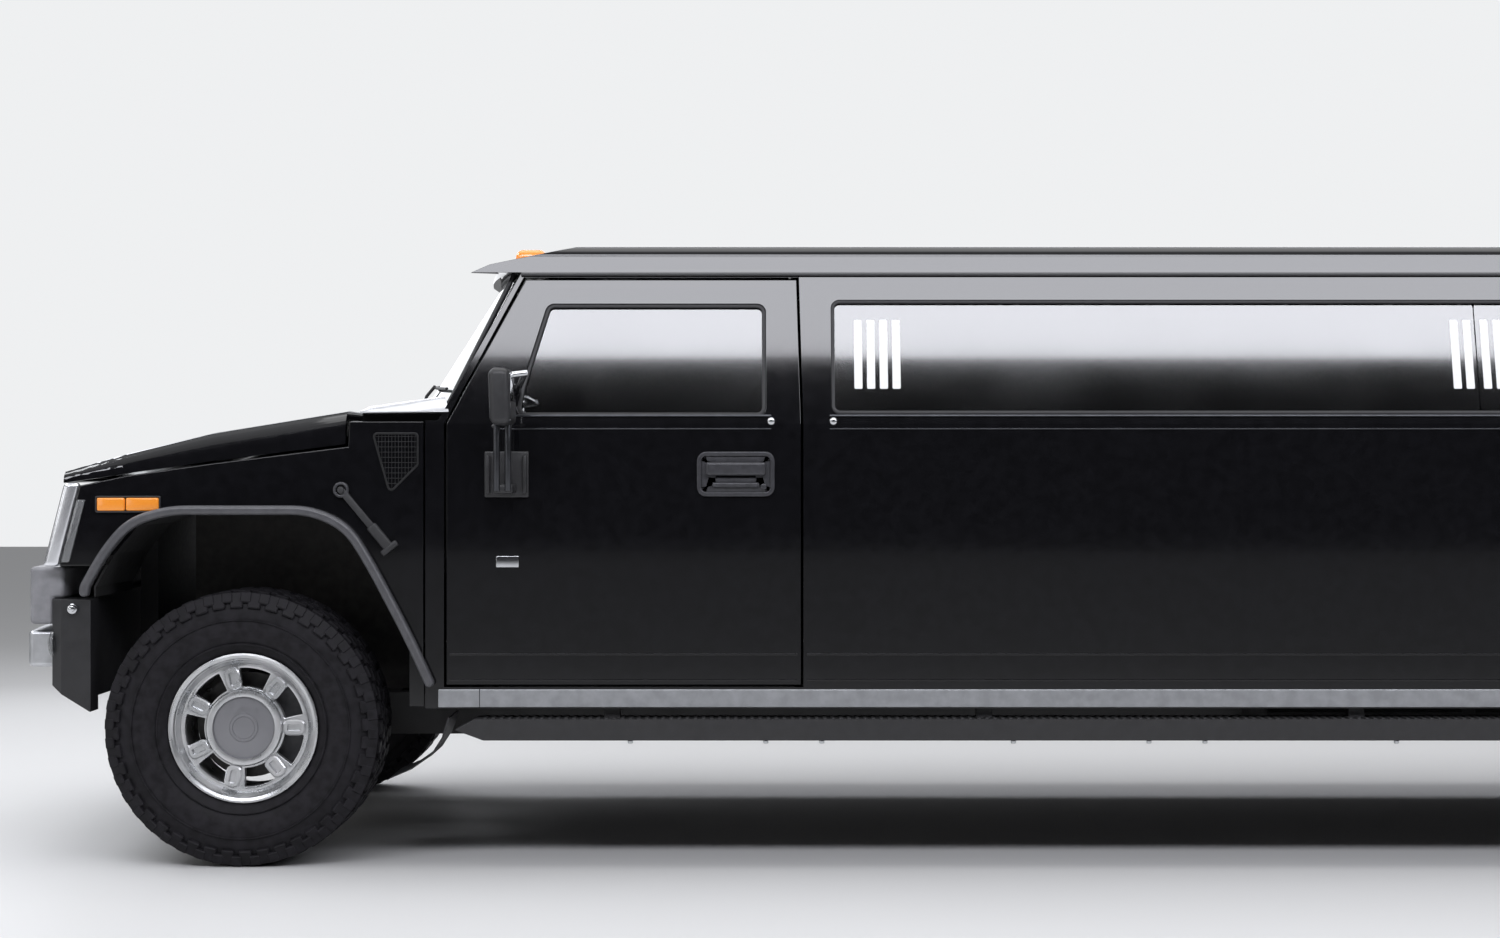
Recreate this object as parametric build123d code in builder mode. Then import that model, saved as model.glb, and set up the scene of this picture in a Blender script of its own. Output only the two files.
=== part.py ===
from build123d import *
import os
from math import cos, radians, sin, tan

# Stretched off-road limousine bus. +Z up, front towards -X, left side towards -Y, in millimetres.
# The origin is on the ground under the middle of the whole vehicle.

# Overall layout
front_overhang = 780
wheelbase = 8200
rear_overhang = 920
overall_length = front_overhang + wheelbase + rear_overhang
front_end_x = -overall_length / 2
rear_end_x = overall_length / 2
front_axle_x = front_end_x + front_overhang
rear_axle_x = front_axle_x + wheelbase
left, right = -1, 1
sides = ((left, "left"), (right, "right"))

# Body shell
body_half_width = 990
wall = 60
sill_bottom_z = 500
belt_z = 1400
gutter_z = 1888
gutter_set_in = 118
gutter_half_width = body_half_width - gutter_set_in
roof_edge_z = 1935
roof_crown_z = 2010
roof_thickness = 40
seat_gap = 0.3
shut_gap = 8
skin_reach = 1200

# Front body stations
grille_front_x = front_end_x + 142
grille_depth = 56
grille_rear_x = grille_front_x + grille_depth
grille_low_z = 945
grille_top_z = 1205
grille_set_back = 66
fender_rear_x = front_axle_x + 572
pillar_front_x = fender_rear_x + 6
body_rear_x = rear_end_x - 110
rear_frame_x = body_rear_x - wall

# Tyres and rims: 315 mm wide, 17 inch
tyre_radius = 436.5
tyre_width = 315
rim_radius = 216
rim_width = 216
rim_barrel = 18
wheel_set_in = 125
track_half = body_half_width - wheel_set_in
hub_z = tyre_radius
spoke_count = 7
running_clearance = 0.05

# Steering
kingpin_set_in = 45
kingpin_y = track_half - kingpin_set_in
pin_radius = 14
spindle_radius = 30
arm_low_z = 300
arm_low_thickness = 40
arm_top_z = 553
arm_top_thickness = 30

# Ladder frame
rail_inner_y = 380
rail_width = 70
rail_outer_y = rail_inner_y + rail_width
rail_height = 140
rail_front_x = front_axle_x - 530
rail_rear_x = body_rear_x - 100
kick_rise = 200
kick_start_x = rear_axle_x - 730
kick_end_x = rear_axle_x - 550
drawbar_reach = 205
drawbar_width = 80
drawbar_thickness = 20
drawbar_eye_radius = 13
crossmember_height = 60
crossmember_length = 80

# Floor
floor_thickness = 40
floor_front_x = pillar_front_x - 10
cabin_half_width = body_half_width - wall
trim_half_width = cabin_half_width - 30

# Doors
door_bottom_z = 575
door_top_z = 1864
door_lean = 12
front_door_front_x = pillar_front_x + 67
front_door_rear_x = front_axle_x + 1766
rear_door_front_x = rear_axle_x - 1338
rear_door_rear_x = rear_axle_x - 390
pane_inset = 14
pane_thickness = 8
window_low_z = 1430
window_top_z = 1799
window_corner = 28

os.makedirs("parts", exist_ok=True)


def keep(piece, name):
    """Label one finished piece and write it."""
    piece.part.label = name
    export_step(piece.part, f"parts/{name}.step")


def wall_section(side, outer_depth, inner_depth):
    """Corners (y, z) of the side wall between two depths below its outer skin."""
    stations = (
        (body_half_width, sill_bottom_z),
        (body_half_width, belt_z),
        (gutter_half_width, gutter_z),
    )
    outer = [(side * (y - outer_depth), z) for y, z in stations]
    inner = [(side * (y - inner_depth), z) for y, z in reversed(stations)]
    return outer + inner


def wall_piece(side, outline, corner, outer_depth=0, inner_depth=wall, cuts=()):
    """A piece of the side wall inside an XZ outline, with rounded XZ windows cut out of it."""
    with BuildPart() as piece:
        with BuildSketch(Plane.YZ.offset(front_end_x)):
            Polygon(*wall_section(side, outer_depth, inner_depth))
        extrude(amount=overall_length)
        with BuildSketch(Plane.XZ) as shape:
            Polygon(*outline)
            if corner:
                fillet(shape.vertices(), corner)
        extrude(amount=-side * skin_reach, mode=Mode.INTERSECT)
        for points, radius in cuts:
            with BuildSketch(Plane.XZ) as hole:
                Polygon(*points)
                if radius:
                    fillet(hole.vertices(), radius)
            extrude(amount=-side * skin_reach, mode=Mode.SUBTRACT)
    return piece


def rectangle_points(x0, x1, z0, z1):
    return [(x0, z0), (x1, z0), (x1, z1), (x0, z1)]


# Wheel arch opening relative to its axle: the long slope faces the middle of the vehicle.
# Columns: distance towards the nearer end of the vehicle, height above the ground.
arch_points = (
    (478, 300),
    (478, 880),
    (420, 985),
    (345, 1075),
    (230, 1112),
    (-215, 1112),
    (-325, 1062),
    (-400, 940),
    (-515, 720),
    (-610, 510),
    (-690, 300),
)


def arch_outline(axle_x, end_sign):
    return [(axle_x + end_sign * along, z) for along, z in arch_points]


# Door outlines in XZ; grow widens them to the opening in the side.
windshield_lean = 0.52


def front_door_outline(grow=0):
    low = door_bottom_z - grow
    top = door_top_z + grow
    front = front_door_front_x - grow
    rear = front_door_rear_x + grow
    return [
        (front, low),
        (rear, low),
        (rear, belt_z),
        (rear - door_lean, top),
        (front + windshield_lean * (door_top_z - belt_z), top),
        (front, belt_z),
    ]


arch_door_margin = 45


def rear_door_outline(grow=0):
    low = door_bottom_z - grow
    top = door_top_z + grow
    front = rear_door_front_x - grow
    rear = rear_door_rear_x + grow
    slope_x = rear_axle_x - 595 - arch_door_margin + grow
    return [
        (front, low),
        (slope_x, low),
        (rear, 1010),
        (rear, belt_z),
        (rear - door_lean, top),
        (front, top),
    ]


# Window outlines in XZ
front_window = [
    (front_axle_x + 862, window_low_z - 6),
    (front_axle_x + 1655, window_low_z - 6),
    (front_axle_x + 1655, window_top_z - 14),
    (front_axle_x + 958, window_top_z - 14),
    (front_axle_x + 880, window_low_z + 90),
]
rear_window = rectangle_points(rear_door_front_x + 78, rear_door_rear_x - 80, window_low_z, window_top_z)
long_band_front_x = front_axle_x + 1863
long_band_rear_x = rear_door_front_x - 102
long_pane_length = 2062
pane_joint = 3
quarter_front_x = rear_door_rear_x + 82
quarter_rear_x = body_rear_x - 190


def long_pane_spans():
    """Front and rear ends of the three long panes, the last shorter than the others."""
    spans = []
    start = long_band_front_x
    while start < long_band_rear_x - 10:
        end = min(start + long_pane_length, long_band_rear_x)
        spans.append((start, end - pane_joint))
        start = end
    return spans


# Sides of the body, each with a seam behind the rear door where the rear quarter panel starts
quarter_seam_x = rear_door_rear_x + shut_gap + 10
side_outline = [
    (pillar_front_x, sill_bottom_z),
    (rear_axle_x + 480, sill_bottom_z),
    (body_rear_x, sill_bottom_z + 60),
    (body_rear_x, gutter_z),
    (pillar_front_x + 40 + windshield_lean * (gutter_z - belt_z), gutter_z),
    (pillar_front_x + 40, belt_z + 10),
    (pillar_front_x, belt_z + 10),
]
flange_depth = 15
for side, side_name in sides:
    cuts = (
        (front_door_outline(shut_gap), 0),
        (rear_door_outline(shut_gap), 0),
        (rectangle_points(long_band_front_x, long_band_rear_x, window_low_z, window_top_z), window_corner),
        (rectangle_points(quarter_front_x, quarter_rear_x, window_low_z, window_top_z), window_corner),
        (arch_outline(rear_axle_x, 1), 0),
    )
    panel = wall_piece(side, side_outline, 0, cuts=cuts)
    with panel:
        for front, rear in (
            (front_door_front_x + 160, front_door_rear_x - 20),
            (rear_door_front_x + 160, kick_start_x - 40),
        ):
            flange_y = side * (cabin_half_width - seat_gap - flange_depth / 2)
            foot_y = side * (cabin_half_width - flange_depth / 2)
            with Locations((front, flange_y, sill_bottom_z + floor_thickness + 5)):
                Box(
                    rear - front, flange_depth, 70, align=(Align.MIN, Align.CENTER, Align.MIN)
                )
            with Locations((front, foot_y, sill_bottom_z + floor_thickness + 5)):
                Box(
                    rear - front, flange_depth + 10, 15, align=(Align.MIN, Align.CENTER, Align.MIN)
                )
    for panel_name, end in (("side", Keep.BOTTOM), ("quarter", Keep.TOP)):
        with BuildPart() as panel_end:
            add(panel.part)
            split(bisect_by=Plane.YZ.offset(quarter_seam_x), keep=end)
        keep(panel_end, f"{panel_name}_{side_name}")

# Fixed side glass: three long panes and a rear quarter pane on each side
with BuildPart() as side_glass:
    for side, side_name in sides:
        for front, rear in long_pane_spans() + [(quarter_front_x, quarter_rear_x)]:
            pane = wall_piece(
                side,
                rectangle_points(front + seat_gap, rear - seat_gap, window_low_z + seat_gap, window_top_z - seat_gap),
                window_corner,
                pane_inset,
                pane_inset + pane_thickness,
            )
            add(pane.part)
keep(side_glass, "side_glass")

# Doors with their glass
doors = (
    ("front", front_door_outline, front_window),
    ("rear", rear_door_outline, rear_window),
)
for side, side_name in sides:
    for place, outline, window in doors:
        door = wall_piece(side, outline(), 0, cuts=((window, window_corner),))
        keep(door, f"door_{place}_{side_name}")
        pane = wall_piece(side, window, window_corner, pane_inset, pane_inset + pane_thickness)
        keep(pane, f"glass_{place}_{side_name}")

# Roof: a shallow crown over sides that lean like the walls, falling a little at the front
roof_side_set_in = gutter_set_in * (roof_edge_z - gutter_z) / (gutter_z - belt_z)
roof_front_x = pillar_front_x + 130
roof_header = 80
# Columns: x, height of the roof's middle line
roof_line = (
    (roof_front_x + 60, 1915),
    (front_axle_x + 1100, 1985),
    (front_axle_x + 1900, roof_crown_z + 5),
    (body_rear_x - 160, roof_crown_z + 5),
    (body_rear_x, 1975),
)


def roof_shape(inset, front_x, rear_x):
    """The space under the roof's outer surface, or under its inner one when inset by its thickness."""
    half = gutter_half_width - inset
    top_half = half - roof_side_set_in
    crown = roof_crown_z - inset
    edge = roof_edge_z - inset
    with BuildPart() as shape:
        with BuildSketch(Plane.YZ.offset(front_x)):
            with BuildLine():
                Polyline((-top_half, edge), (-half, gutter_z), (half, gutter_z), (top_half, edge))
                ThreePointArc((top_half, edge), (top_half - 12, edge + 27), (top_half - 40, edge + 40))
                ThreePointArc((top_half - 40, edge + 40), (0, crown), (40 - top_half, edge + 40))
                ThreePointArc((40 - top_half, edge + 40), (12 - top_half, edge + 27), (-top_half, edge))
            make_face()
        extrude(amount=rear_x - front_x)
        with BuildSketch(Plane.XZ):
            Polygon(
                (roof_front_x, gutter_z),
                (body_rear_x, gutter_z),
                *[(x, z - inset) for x, z in reversed(roof_line)],
            )
        extrude(amount=skin_reach, both=True, mode=Mode.INTERSECT)
    return shape


with BuildPart() as roof:
    add(roof_shape(0, roof_front_x, body_rear_x).part)
    add(
        roof_shape(roof_thickness, roof_front_x + roof_header, body_rear_x - roof_thickness).part,
        mode=Mode.SUBTRACT,
    )
    with BuildSketch(Plane.XY.offset(gutter_z)):
        with BuildLine():
            brow_half = gutter_half_width - 72
            brow_x = roof_front_x - 100
            ThreePointArc((brow_x + 210, -brow_half), (brow_x + 95, 0), (brow_x + 210, brow_half))
            Line((brow_x + 210, brow_half), (brow_x, brow_half + 100))
            Line((brow_x, brow_half + 100), (brow_x, -brow_half - 100))
            Line((brow_x, -brow_half - 100), (brow_x + 210, -brow_half))
        make_face()
    extrude(amount=200, mode=Mode.SUBTRACT)
keep(roof, "roof")

# Rear frame around the tailgate opening, and the tailgate with its glass
tailgate_half_width = body_half_width - 200
tailgate_low_z = 725
tailgate_top_z = 1858
tailgate_gap = 10
rear_glass_low_half = tailgate_half_width - 90
rear_glass_top_half = tailgate_half_width - 140
rear_glass = [
    (-rear_glass_low_half, 1380),
    (rear_glass_low_half, 1380),
    (rear_glass_top_half, 1790),
    (-rear_glass_top_half, 1790),
]


def tailgate_outline(grow):
    half = tailgate_half_width + grow
    low = tailgate_low_z - grow
    top = tailgate_top_z + grow
    return [(-half, low), (half, low), (half, belt_z), (half - 80, top), (80 - half, top), (-half, belt_z)]


with BuildPart() as rear_frame:
    with BuildSketch(Plane.YZ.offset(rear_frame_x)):
        top_half = gutter_half_width - wall - seat_gap
        half = cabin_half_width - seat_gap
        Polygon(
            (-half, 650),
            (half, 650),
            (half, belt_z),
            (top_half, gutter_z),
            (-top_half, gutter_z),
            (-half, belt_z),
        )
        Polygon(*tailgate_outline(tailgate_gap), mode=Mode.SUBTRACT)
    extrude(amount=wall)
    with Locations((rear_frame_x - 15 - seat_gap, 0, tailgate_low_z - 35)):
        Box(15, 2 * rear_glass_low_half, 60, align=(Align.MIN, Align.CENTER, Align.MIN))
    with Locations((rear_frame_x - 10, 0, tailgate_low_z - 35)):
        Box(20, 2 * rear_glass_low_half, 15, align=(Align.MIN, Align.CENTER, Align.MIN))
keep(rear_frame, "rear_frame")

with BuildPart() as tailgate:
    with BuildSketch(Plane.YZ.offset(rear_frame_x)):
        Polygon(*tailgate_outline(0))
        Polygon(*rear_glass, mode=Mode.SUBTRACT)
    extrude(amount=wall)
keep(tailgate, "tailgate")

with BuildPart() as tailgate_glass:
    with BuildSketch(Plane.YZ.offset(body_rear_x - pane_inset - pane_thickness)):
        Polygon(*rear_glass)
    extrude(amount=pane_thickness)
keep(tailgate_glass, "tailgate_glass")

with BuildPart() as tail_lamps:
    with Locations(*[(body_rear_x, side * (body_half_width - 120), 1120) for side, name in sides]):
        Box(14, 90, 330, align=(Align.MIN, Align.CENTER, Align.CENTER))
    fillet(tail_lamps.edges().filter_by(Axis.X), 15)
keep(tail_lamps, "tail_lamps")


def grille_lean(z):
    """Distance that the leaning grille is set back at a height."""
    return grille_set_back * (z - grille_low_z) / (grille_top_z - grille_low_z)


# Hood sizes
hood_rear_x = front_axle_x + 325
hood_front_x = grille_rear_x + 12
hood_thickness = 25
hood_front_half = body_half_width - 15
hood_rear_half = body_half_width - 2
hood_outer_corner = 70
hood_inner_corner = 50
# Columns: x, height of the skirt's lower edge, height of the top
hood_stations = (
    (hood_front_x, grille_top_z + 8, 1250),
    (hood_front_x + 203, 1244, 1310),
    (hood_front_x + 467, 1282, 1373),
    (hood_rear_x, 1336, 1442),
)


def hood_half(x):
    """Half of the hood's width at a station along it."""
    share = (x - hood_front_x) / (hood_rear_x - hood_front_x)
    return hood_front_half + share * (hood_rear_half - hood_front_half)


def hood_underside(x):
    """Height of the hood's inner surface in its rear part."""
    (start_x, start_low, start_top), (end_x, end_low, end_top) = hood_stations[-2:]
    share = (x - start_x) / (end_x - start_x)
    return start_top + share * (end_top - start_top) - hood_thickness


# Bulkhead and cowl in front of the cabin, with two stops that the closed hood rests on
cowl_top_z = 1440
hood_stop_y = 700
hood_stop_reach = 35
cowl_front_x = hood_rear_x + 12
with BuildPart() as bulkhead:
    with Locations((floor_front_x, 0, sill_bottom_z)):
        Box(
            50,
            2 * (cabin_half_width - seat_gap),
            cowl_top_z - 40 - sill_bottom_z,
            align=(Align.MAX, Align.CENTER, Align.MIN),
        )
    with BuildSketch(Plane.XY.offset(cowl_top_z - 40)):
        with BuildLine():
            half = cabin_half_width - flange_depth
            ThreePointArc((cowl_front_x + 30, -half), (cowl_front_x, 0), (cowl_front_x + 30, half))
            Line((cowl_front_x + 30, half), (pillar_front_x + 60, half))
            Line((pillar_front_x + 60, half), (pillar_front_x + 60, -half))
            Line((pillar_front_x + 60, -half), (cowl_front_x + 30, -half))
        make_face()
    extrude(amount=40)
    stop_front_x = cowl_front_x - hood_stop_reach
    with Locations(*[(stop_front_x, side * hood_stop_y, cowl_top_z - 40) for side, name in sides]):
        Box(
            hood_stop_reach + 45,
            40,
            hood_underside(stop_front_x) - 2 * seat_gap - cowl_top_z + 40,
            align=(Align.MIN, Align.CENTER, Align.MIN),
        )
keep(bulkhead, "bulkhead")

# Windshield: curved in plan, leaning back
shield_base = ((pillar_front_x + 55, body_half_width - 75), (pillar_front_x - 125, 0))
shield_top = ((pillar_front_x + 268, gutter_half_width - 57), (pillar_front_x + 168, 0))
shield_thickness = 10
with BuildPart() as windshield:
    for z, corner_point, centre_point in (
        (cowl_top_z + seat_gap, *shield_base),
        (gutter_z - seat_gap, *shield_top),
    ):
        with BuildSketch(Plane.XY.offset(z)):
            with BuildLine():
                corner_x, corner_y = corner_point
                centre_x = centre_point[0]
                rear_corner_x = corner_x + shield_thickness
                rear_centre_x = centre_x + shield_thickness
                ThreePointArc((corner_x, -corner_y), (centre_x, 0), (corner_x, corner_y))
                Line((corner_x, corner_y), (rear_corner_x, corner_y))
                ThreePointArc((rear_corner_x, corner_y), (rear_centre_x, 0), (rear_corner_x, -corner_y))
                Line((rear_corner_x, -corner_y), (corner_x, -corner_y))
            make_face()
    loft(ruled=True)
keep(windshield, "windshield")

# Front fenders with their arch openings
fender_top = [
    (grille_rear_x + grille_lean(grille_top_z) + seat_gap, grille_top_z),
    *[(x, low - shut_gap) for x, low, top in hood_stations[1:-1]],
    (hood_rear_x + 8, hood_stations[-1][1] - shut_gap),
    (hood_rear_x + 12, 1408),
    (fender_rear_x, 1408),
]
for side, side_name in sides:
    outline = fender_top + [
        (fender_rear_x, sill_bottom_z),
        (front_axle_x, sill_bottom_z),
        (front_axle_x, grille_low_z + 5),
        (grille_rear_x + grille_lean(grille_low_z + 5) + seat_gap, grille_low_z + 5),
    ]
    fender = wall_piece(side, outline, 0, cuts=((arch_outline(front_axle_x, -1), 0),))
    keep(fender, f"fender_{side_name}")



# Hood: a convex shell with short side skirts, hinged at its front edge
def hood_section(x, low, top, inset, corner):
    """One cross-section of the hood's outer or inner surface."""
    half = hood_half(x) - inset
    top = top - inset
    corner = min(corner, (top - low) * 0.9)
    with BuildSketch(Plane.YZ.offset(x)) as section:
        with BuildLine():
            Polyline((-half, top - corner), (-half, low), (half, low), (half, top - corner))
            shoulder = corner * 0.29
            ThreePointArc(
                (half, top - corner), (half - shoulder, top - shoulder), (half - corner, top)
            )
            Line((half - corner, top), (corner - half, top))
            ThreePointArc(
                (corner - half, top), (shoulder - half, top - shoulder), (-half, top - corner)
            )
        make_face()
    return section.sketch


with BuildPart() as hood:
    loft([hood_section(x, low, top, 0, hood_outer_corner) for x, low, top in hood_stations], ruled=True)
    hollow_stations = [
        (hood_front_x + hood_thickness, *hood_stations[0][1:]),
        *hood_stations[1:-1],
        (hood_rear_x + 1, *hood_stations[-1][1:]),
    ]
    loft(
        [hood_section(x, low - 30, top, hood_thickness, hood_inner_corner) for x, low, top in hollow_stations],
        ruled=True,
        mode=Mode.SUBTRACT,
    )
keep(hood, "hood")

# Leaning grille panel with upright slots and a square hole for each headlamp
grille_half_width = body_half_width - 25
slot_count = 8
slot_pitch = 142
slot_width = 88
lamp_set_in = 185
lamp_y = grille_half_width - lamp_set_in
lamp_width = 230
lamp_height = 190
lamp_z = 1078
grille_bow = 20
with BuildPart() as grille:
    for z in (grille_low_z, grille_top_z):
        centre_x = grille_front_x + grille_lean(z)
        end_x = centre_x + grille_bow
        back_x = centre_x + grille_depth
        with BuildSketch(Plane.XY.offset(z)):
            with BuildLine():
                ThreePointArc((end_x, -grille_half_width), (centre_x, 0), (end_x, grille_half_width))
                Polyline(
                    (end_x, grille_half_width),
                    (back_x, grille_half_width),
                    (back_x, -grille_half_width),
                    (end_x, -grille_half_width),
                )
            make_face()
    loft(ruled=True)
    with BuildSketch(Plane.YZ.offset(grille_front_x - 20)):
        with GridLocations(slot_pitch, 1, slot_count, 1):
            with Locations((0, lamp_z)):
                Rectangle(slot_width, lamp_height - 20)
        with Locations((-lamp_y, lamp_z), (lamp_y, lamp_z)):
            Rectangle(lamp_width, lamp_height)
    extrude(amount=grille_depth + grille_set_back + 40, mode=Mode.SUBTRACT)
keep(grille, "grille")

lamp_depth = grille_depth - 22
lamp_low_z = lamp_z - lamp_height / 2 + seat_gap
lamp_high_z = lamp_z + lamp_height / 2 - seat_gap
with BuildPart() as headlamps:
    for side, side_name in sides:
        low_x = grille_rear_x + grille_lean(lamp_low_z)
        high_x = grille_rear_x + grille_lean(lamp_high_z)
        half_lamp = lamp_width / 2 - seat_gap
        with BuildSketch(Plane.XZ.offset(-side * lamp_y)):
            Polygon(
                (low_x - lamp_depth, lamp_low_z),
                (low_x, lamp_low_z),
                (high_x, lamp_high_z),
                (high_x - lamp_depth, lamp_high_z),
            )
        extrude(amount=half_lamp, both=True)
keep(headlamps, "headlamps")

# Front bumper: a black wrap-round body with two satin tiers on its face
bumper_half_width = body_half_width - 5
bumper_core_front_x = front_end_x + 165
bumper_core_rear_x = front_axle_x - 530
bumper_end_x = front_axle_x - 482
bumper_core_low_z = 488
bumper_core_top_z = 844
chin_rise = 110
chin_length = 178
with BuildPart() as bumper_core:
    with BuildSketch(Plane.XY.offset(bumper_core_low_z)):
        Polygon(
            (bumper_core_front_x, -bumper_half_width + 40),
            (bumper_core_front_x, bumper_half_width - 40),
            (bumper_core_front_x + 40, bumper_half_width),
            (bumper_end_x, bumper_half_width),
            (bumper_end_x, bumper_half_width - 90),
            (bumper_core_rear_x, bumper_half_width - 130),
            (bumper_core_rear_x, 130 - bumper_half_width),
            (bumper_end_x, 90 - bumper_half_width),
            (bumper_end_x, -bumper_half_width),
            (bumper_core_front_x + 40, -bumper_half_width),
        )
    extrude(amount=bumper_core_top_z - bumper_core_low_z)
    with BuildSketch(Plane.XZ):
        chin_rear_x = bumper_end_x - 3
        chin_front_x = chin_rear_x - 2 * chin_length
        Polygon(
            (chin_rear_x, bumper_core_low_z),
            (chin_front_x, bumper_core_low_z + 2 * chin_rise),
            (chin_front_x, bumper_core_low_z),
        )
    extrude(amount=skin_reach, both=True, mode=Mode.SUBTRACT)
keep(bumper_core, "bumper_core")


def bumper_bar(low, high, bow_x, end_x, rear_x, half):
    """A bumper tier whose front face bows forward in plan."""
    with BuildPart() as bar:
        with BuildSketch(Plane.XY.offset(low)):
            with BuildLine():
                ThreePointArc((end_x, -half), (bow_x, 0), (end_x, half))
                Polyline((end_x, half), (rear_x, half), (rear_x, -half), (end_x, -half))
            make_face()
        extrude(amount=high - low)
    return bar


with BuildPart() as bumper_front:
    # Columns: low z, high z, foremost x in the middle and at the ends, rear x, half width
    for low, high, bow_x, end_x, rear_x, half in (
        (762, bumper_core_top_z, front_end_x + 20, front_end_x + 89, bumper_core_front_x, bumper_half_width - 55),
        (bumper_core_top_z, grille_low_z, front_end_x + 20, front_end_x + 89, grille_rear_x, bumper_half_width - 55),
        (624, 740, front_end_x, front_end_x + 76, bumper_core_front_x, bumper_half_width - 85),
    ):
        add(bumper_bar(low, high, bow_x, end_x, rear_x, half).part)
keep(bumper_front, "bumper_front")

# Rear bumper and its step
with BuildPart() as bumper_rear:
    with BuildSketch(Plane.XY.offset(505)):
        with BuildLine():
            ThreePointArc(
                (rear_end_x - 40, 30 - body_half_width),
                (rear_end_x, 0),
                (rear_end_x - 40, body_half_width - 30),
            )
            Polyline(
                (rear_end_x - 40, body_half_width - 30),
                (rear_end_x - 75, bumper_half_width),
                (body_rear_x + 2, bumper_half_width),
                (body_rear_x + 2, -bumper_half_width),
                (rear_end_x - 75, -bumper_half_width),
                (rear_end_x - 40, 30 - body_half_width),
            )
        make_face()
    extrude(amount=190)
    with Locations((body_rear_x + 2, 0, 600)):
        Box(
            body_rear_x + 2 - rail_rear_x,
            2 * rail_outer_y,
            60,
            align=(Align.MAX, Align.CENTER, Align.CENTER),
        )
        Box(
            body_rear_x + 2 - rail_rear_x,
            2 * rail_inner_y,
            80,
            align=(Align.MAX, Align.CENTER, Align.CENTER),
            mode=Mode.SUBTRACT,
        )
keep(bumper_rear, "bumper_rear")

# Heights of the bright sill strips and the running boards
sill_low_z = 504
sill_high_z = 561
board_low_z = 403
board_high_z = 469
strip_clearance = 620

# Arch flares: raised lips that follow the arch openings
flare_width = 30
flare_proud = 42
with BuildPart() as arch_flares:
    for axle_x, end_sign in ((front_axle_x, -1), (rear_axle_x, 1)):
        for side, side_name in sides:
            with BuildPart() as lip:
                with BuildSketch(Plane.XZ.offset(-side * body_half_width)):
                    Polygon(*arch_outline(axle_x, end_sign))
                    offset(amount=flare_width)
                extrude(amount=-side * flare_proud)
                with BuildSketch(Plane.XZ.offset(-side * body_half_width)):
                    Polygon(*arch_outline(axle_x, end_sign))
                extrude(amount=-side * flare_proud, mode=Mode.SUBTRACT)
                with Locations((axle_x + end_sign * 350, side * body_half_width, 0)):
                    Box(700, 200, 855, align=(Align.CENTER, Align.CENTER, Align.MIN), mode=Mode.SUBTRACT)
                with Locations((axle_x - end_sign * 350, side * body_half_width, 0)):
                    Box(800, 200, sill_high_z + 4, align=(Align.CENTER, Align.CENTER, Align.MIN), mode=Mode.SUBTRACT)
            add(lip.part)
keep(arch_flares, "arch_flares")

# Wheel arch liners: shells along the arch openings, with a wall inboard of the rear tyres
liner_gap = 2
liner_thickness = 6
liner_front_set_in = 510
liner_rear_set_in = 350
liner_front_y = body_half_width - liner_front_set_in
liner_rear_y = body_half_width - liner_rear_set_in
# Columns: axle, sign towards its end of the vehicle, inner y, lowest z at the near end and at the middle
liner_table = (
    (front_axle_x, -1, liner_front_y, 850, 740),
    (rear_axle_x, 1, liner_rear_y, 565, 565),
)
with BuildPart() as arch_liners:
    for axle_x, end_sign, inner_y, end_low_z, middle_low_z in liner_table:
        for side, side_name in sides:
            with BuildPart() as liner:
                with BuildSketch(Plane.XZ.offset(-side * inner_y)):
                    Polygon(*arch_outline(axle_x, end_sign))
                    offset(amount=liner_gap + liner_thickness)
                extrude(amount=-side * (cabin_half_width - seat_gap - inner_y))
                wall_depth = liner_thickness if axle_x == rear_axle_x else 0
                with BuildSketch(Plane.XZ.offset(-side * (inner_y + wall_depth))):
                    Polygon(*arch_outline(axle_x, end_sign))
                    offset(amount=liner_gap)
                extrude(amount=-side * body_half_width, mode=Mode.SUBTRACT)
                with Locations((axle_x, side * inner_y, 0)):
                    Box(
                        1000,
                        1200,
                        end_low_z,
                        align=(Align.MIN if end_sign > 0 else Align.MAX, Align.CENTER, Align.MIN),
                        mode=Mode.SUBTRACT,
                    )
                    Box(
                        1000,
                        1200,
                        middle_low_z,
                        align=(Align.MAX if end_sign > 0 else Align.MIN, Align.CENTER, Align.MIN),
                        mode=Mode.SUBTRACT,
                    )
            add(liner.part)
keep(arch_liners, "arch_liners")

# Bright sill strips and running boards
board_front_x = front_axle_x + 676
board_rear_x = rear_axle_x - 640
with BuildPart() as sill_strips:
    for side, side_name in sides:
        with BuildSketch(Plane.XZ.offset(-side * body_half_width)):
            Polygon(
                (front_axle_x + strip_clearance, sill_low_z),
                (rear_axle_x - strip_clearance, sill_low_z),
                (rear_axle_x - strip_clearance, sill_high_z),
                (front_axle_x + strip_clearance, sill_high_z),
            )
        extrude(amount=-side * 12)
keep(sill_strips, "sill_strips")

board_inner_y = 905
board_outer_y = 1035
bracket_pitch = 1180
bracket_count = 6
with BuildPart() as running_boards:
    for side, side_name in sides:
        with BuildPart() as board:
            with BuildSketch(Plane.XZ.offset(-side * board_inner_y)):
                Polygon(
                    (board_front_x, board_low_z + 33),
                    (board_front_x + 90, board_low_z),
                    (board_rear_x, board_low_z),
                    (board_rear_x, board_high_z),
                    (board_front_x + 60, board_high_z),
                )
            extrude(amount=-side * (board_outer_y - board_inner_y))
            centre_x = (board_front_x + board_rear_x) / 2
            with Locations((centre_x, side * 950, (board_high_z + sill_bottom_z) / 2)):
                with GridLocations(bracket_pitch, 1, bracket_count, 1):
                    Box(50, 40, sill_bottom_z - board_high_z)
        add(board.part)
keep(running_boards, "running_boards")

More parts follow.
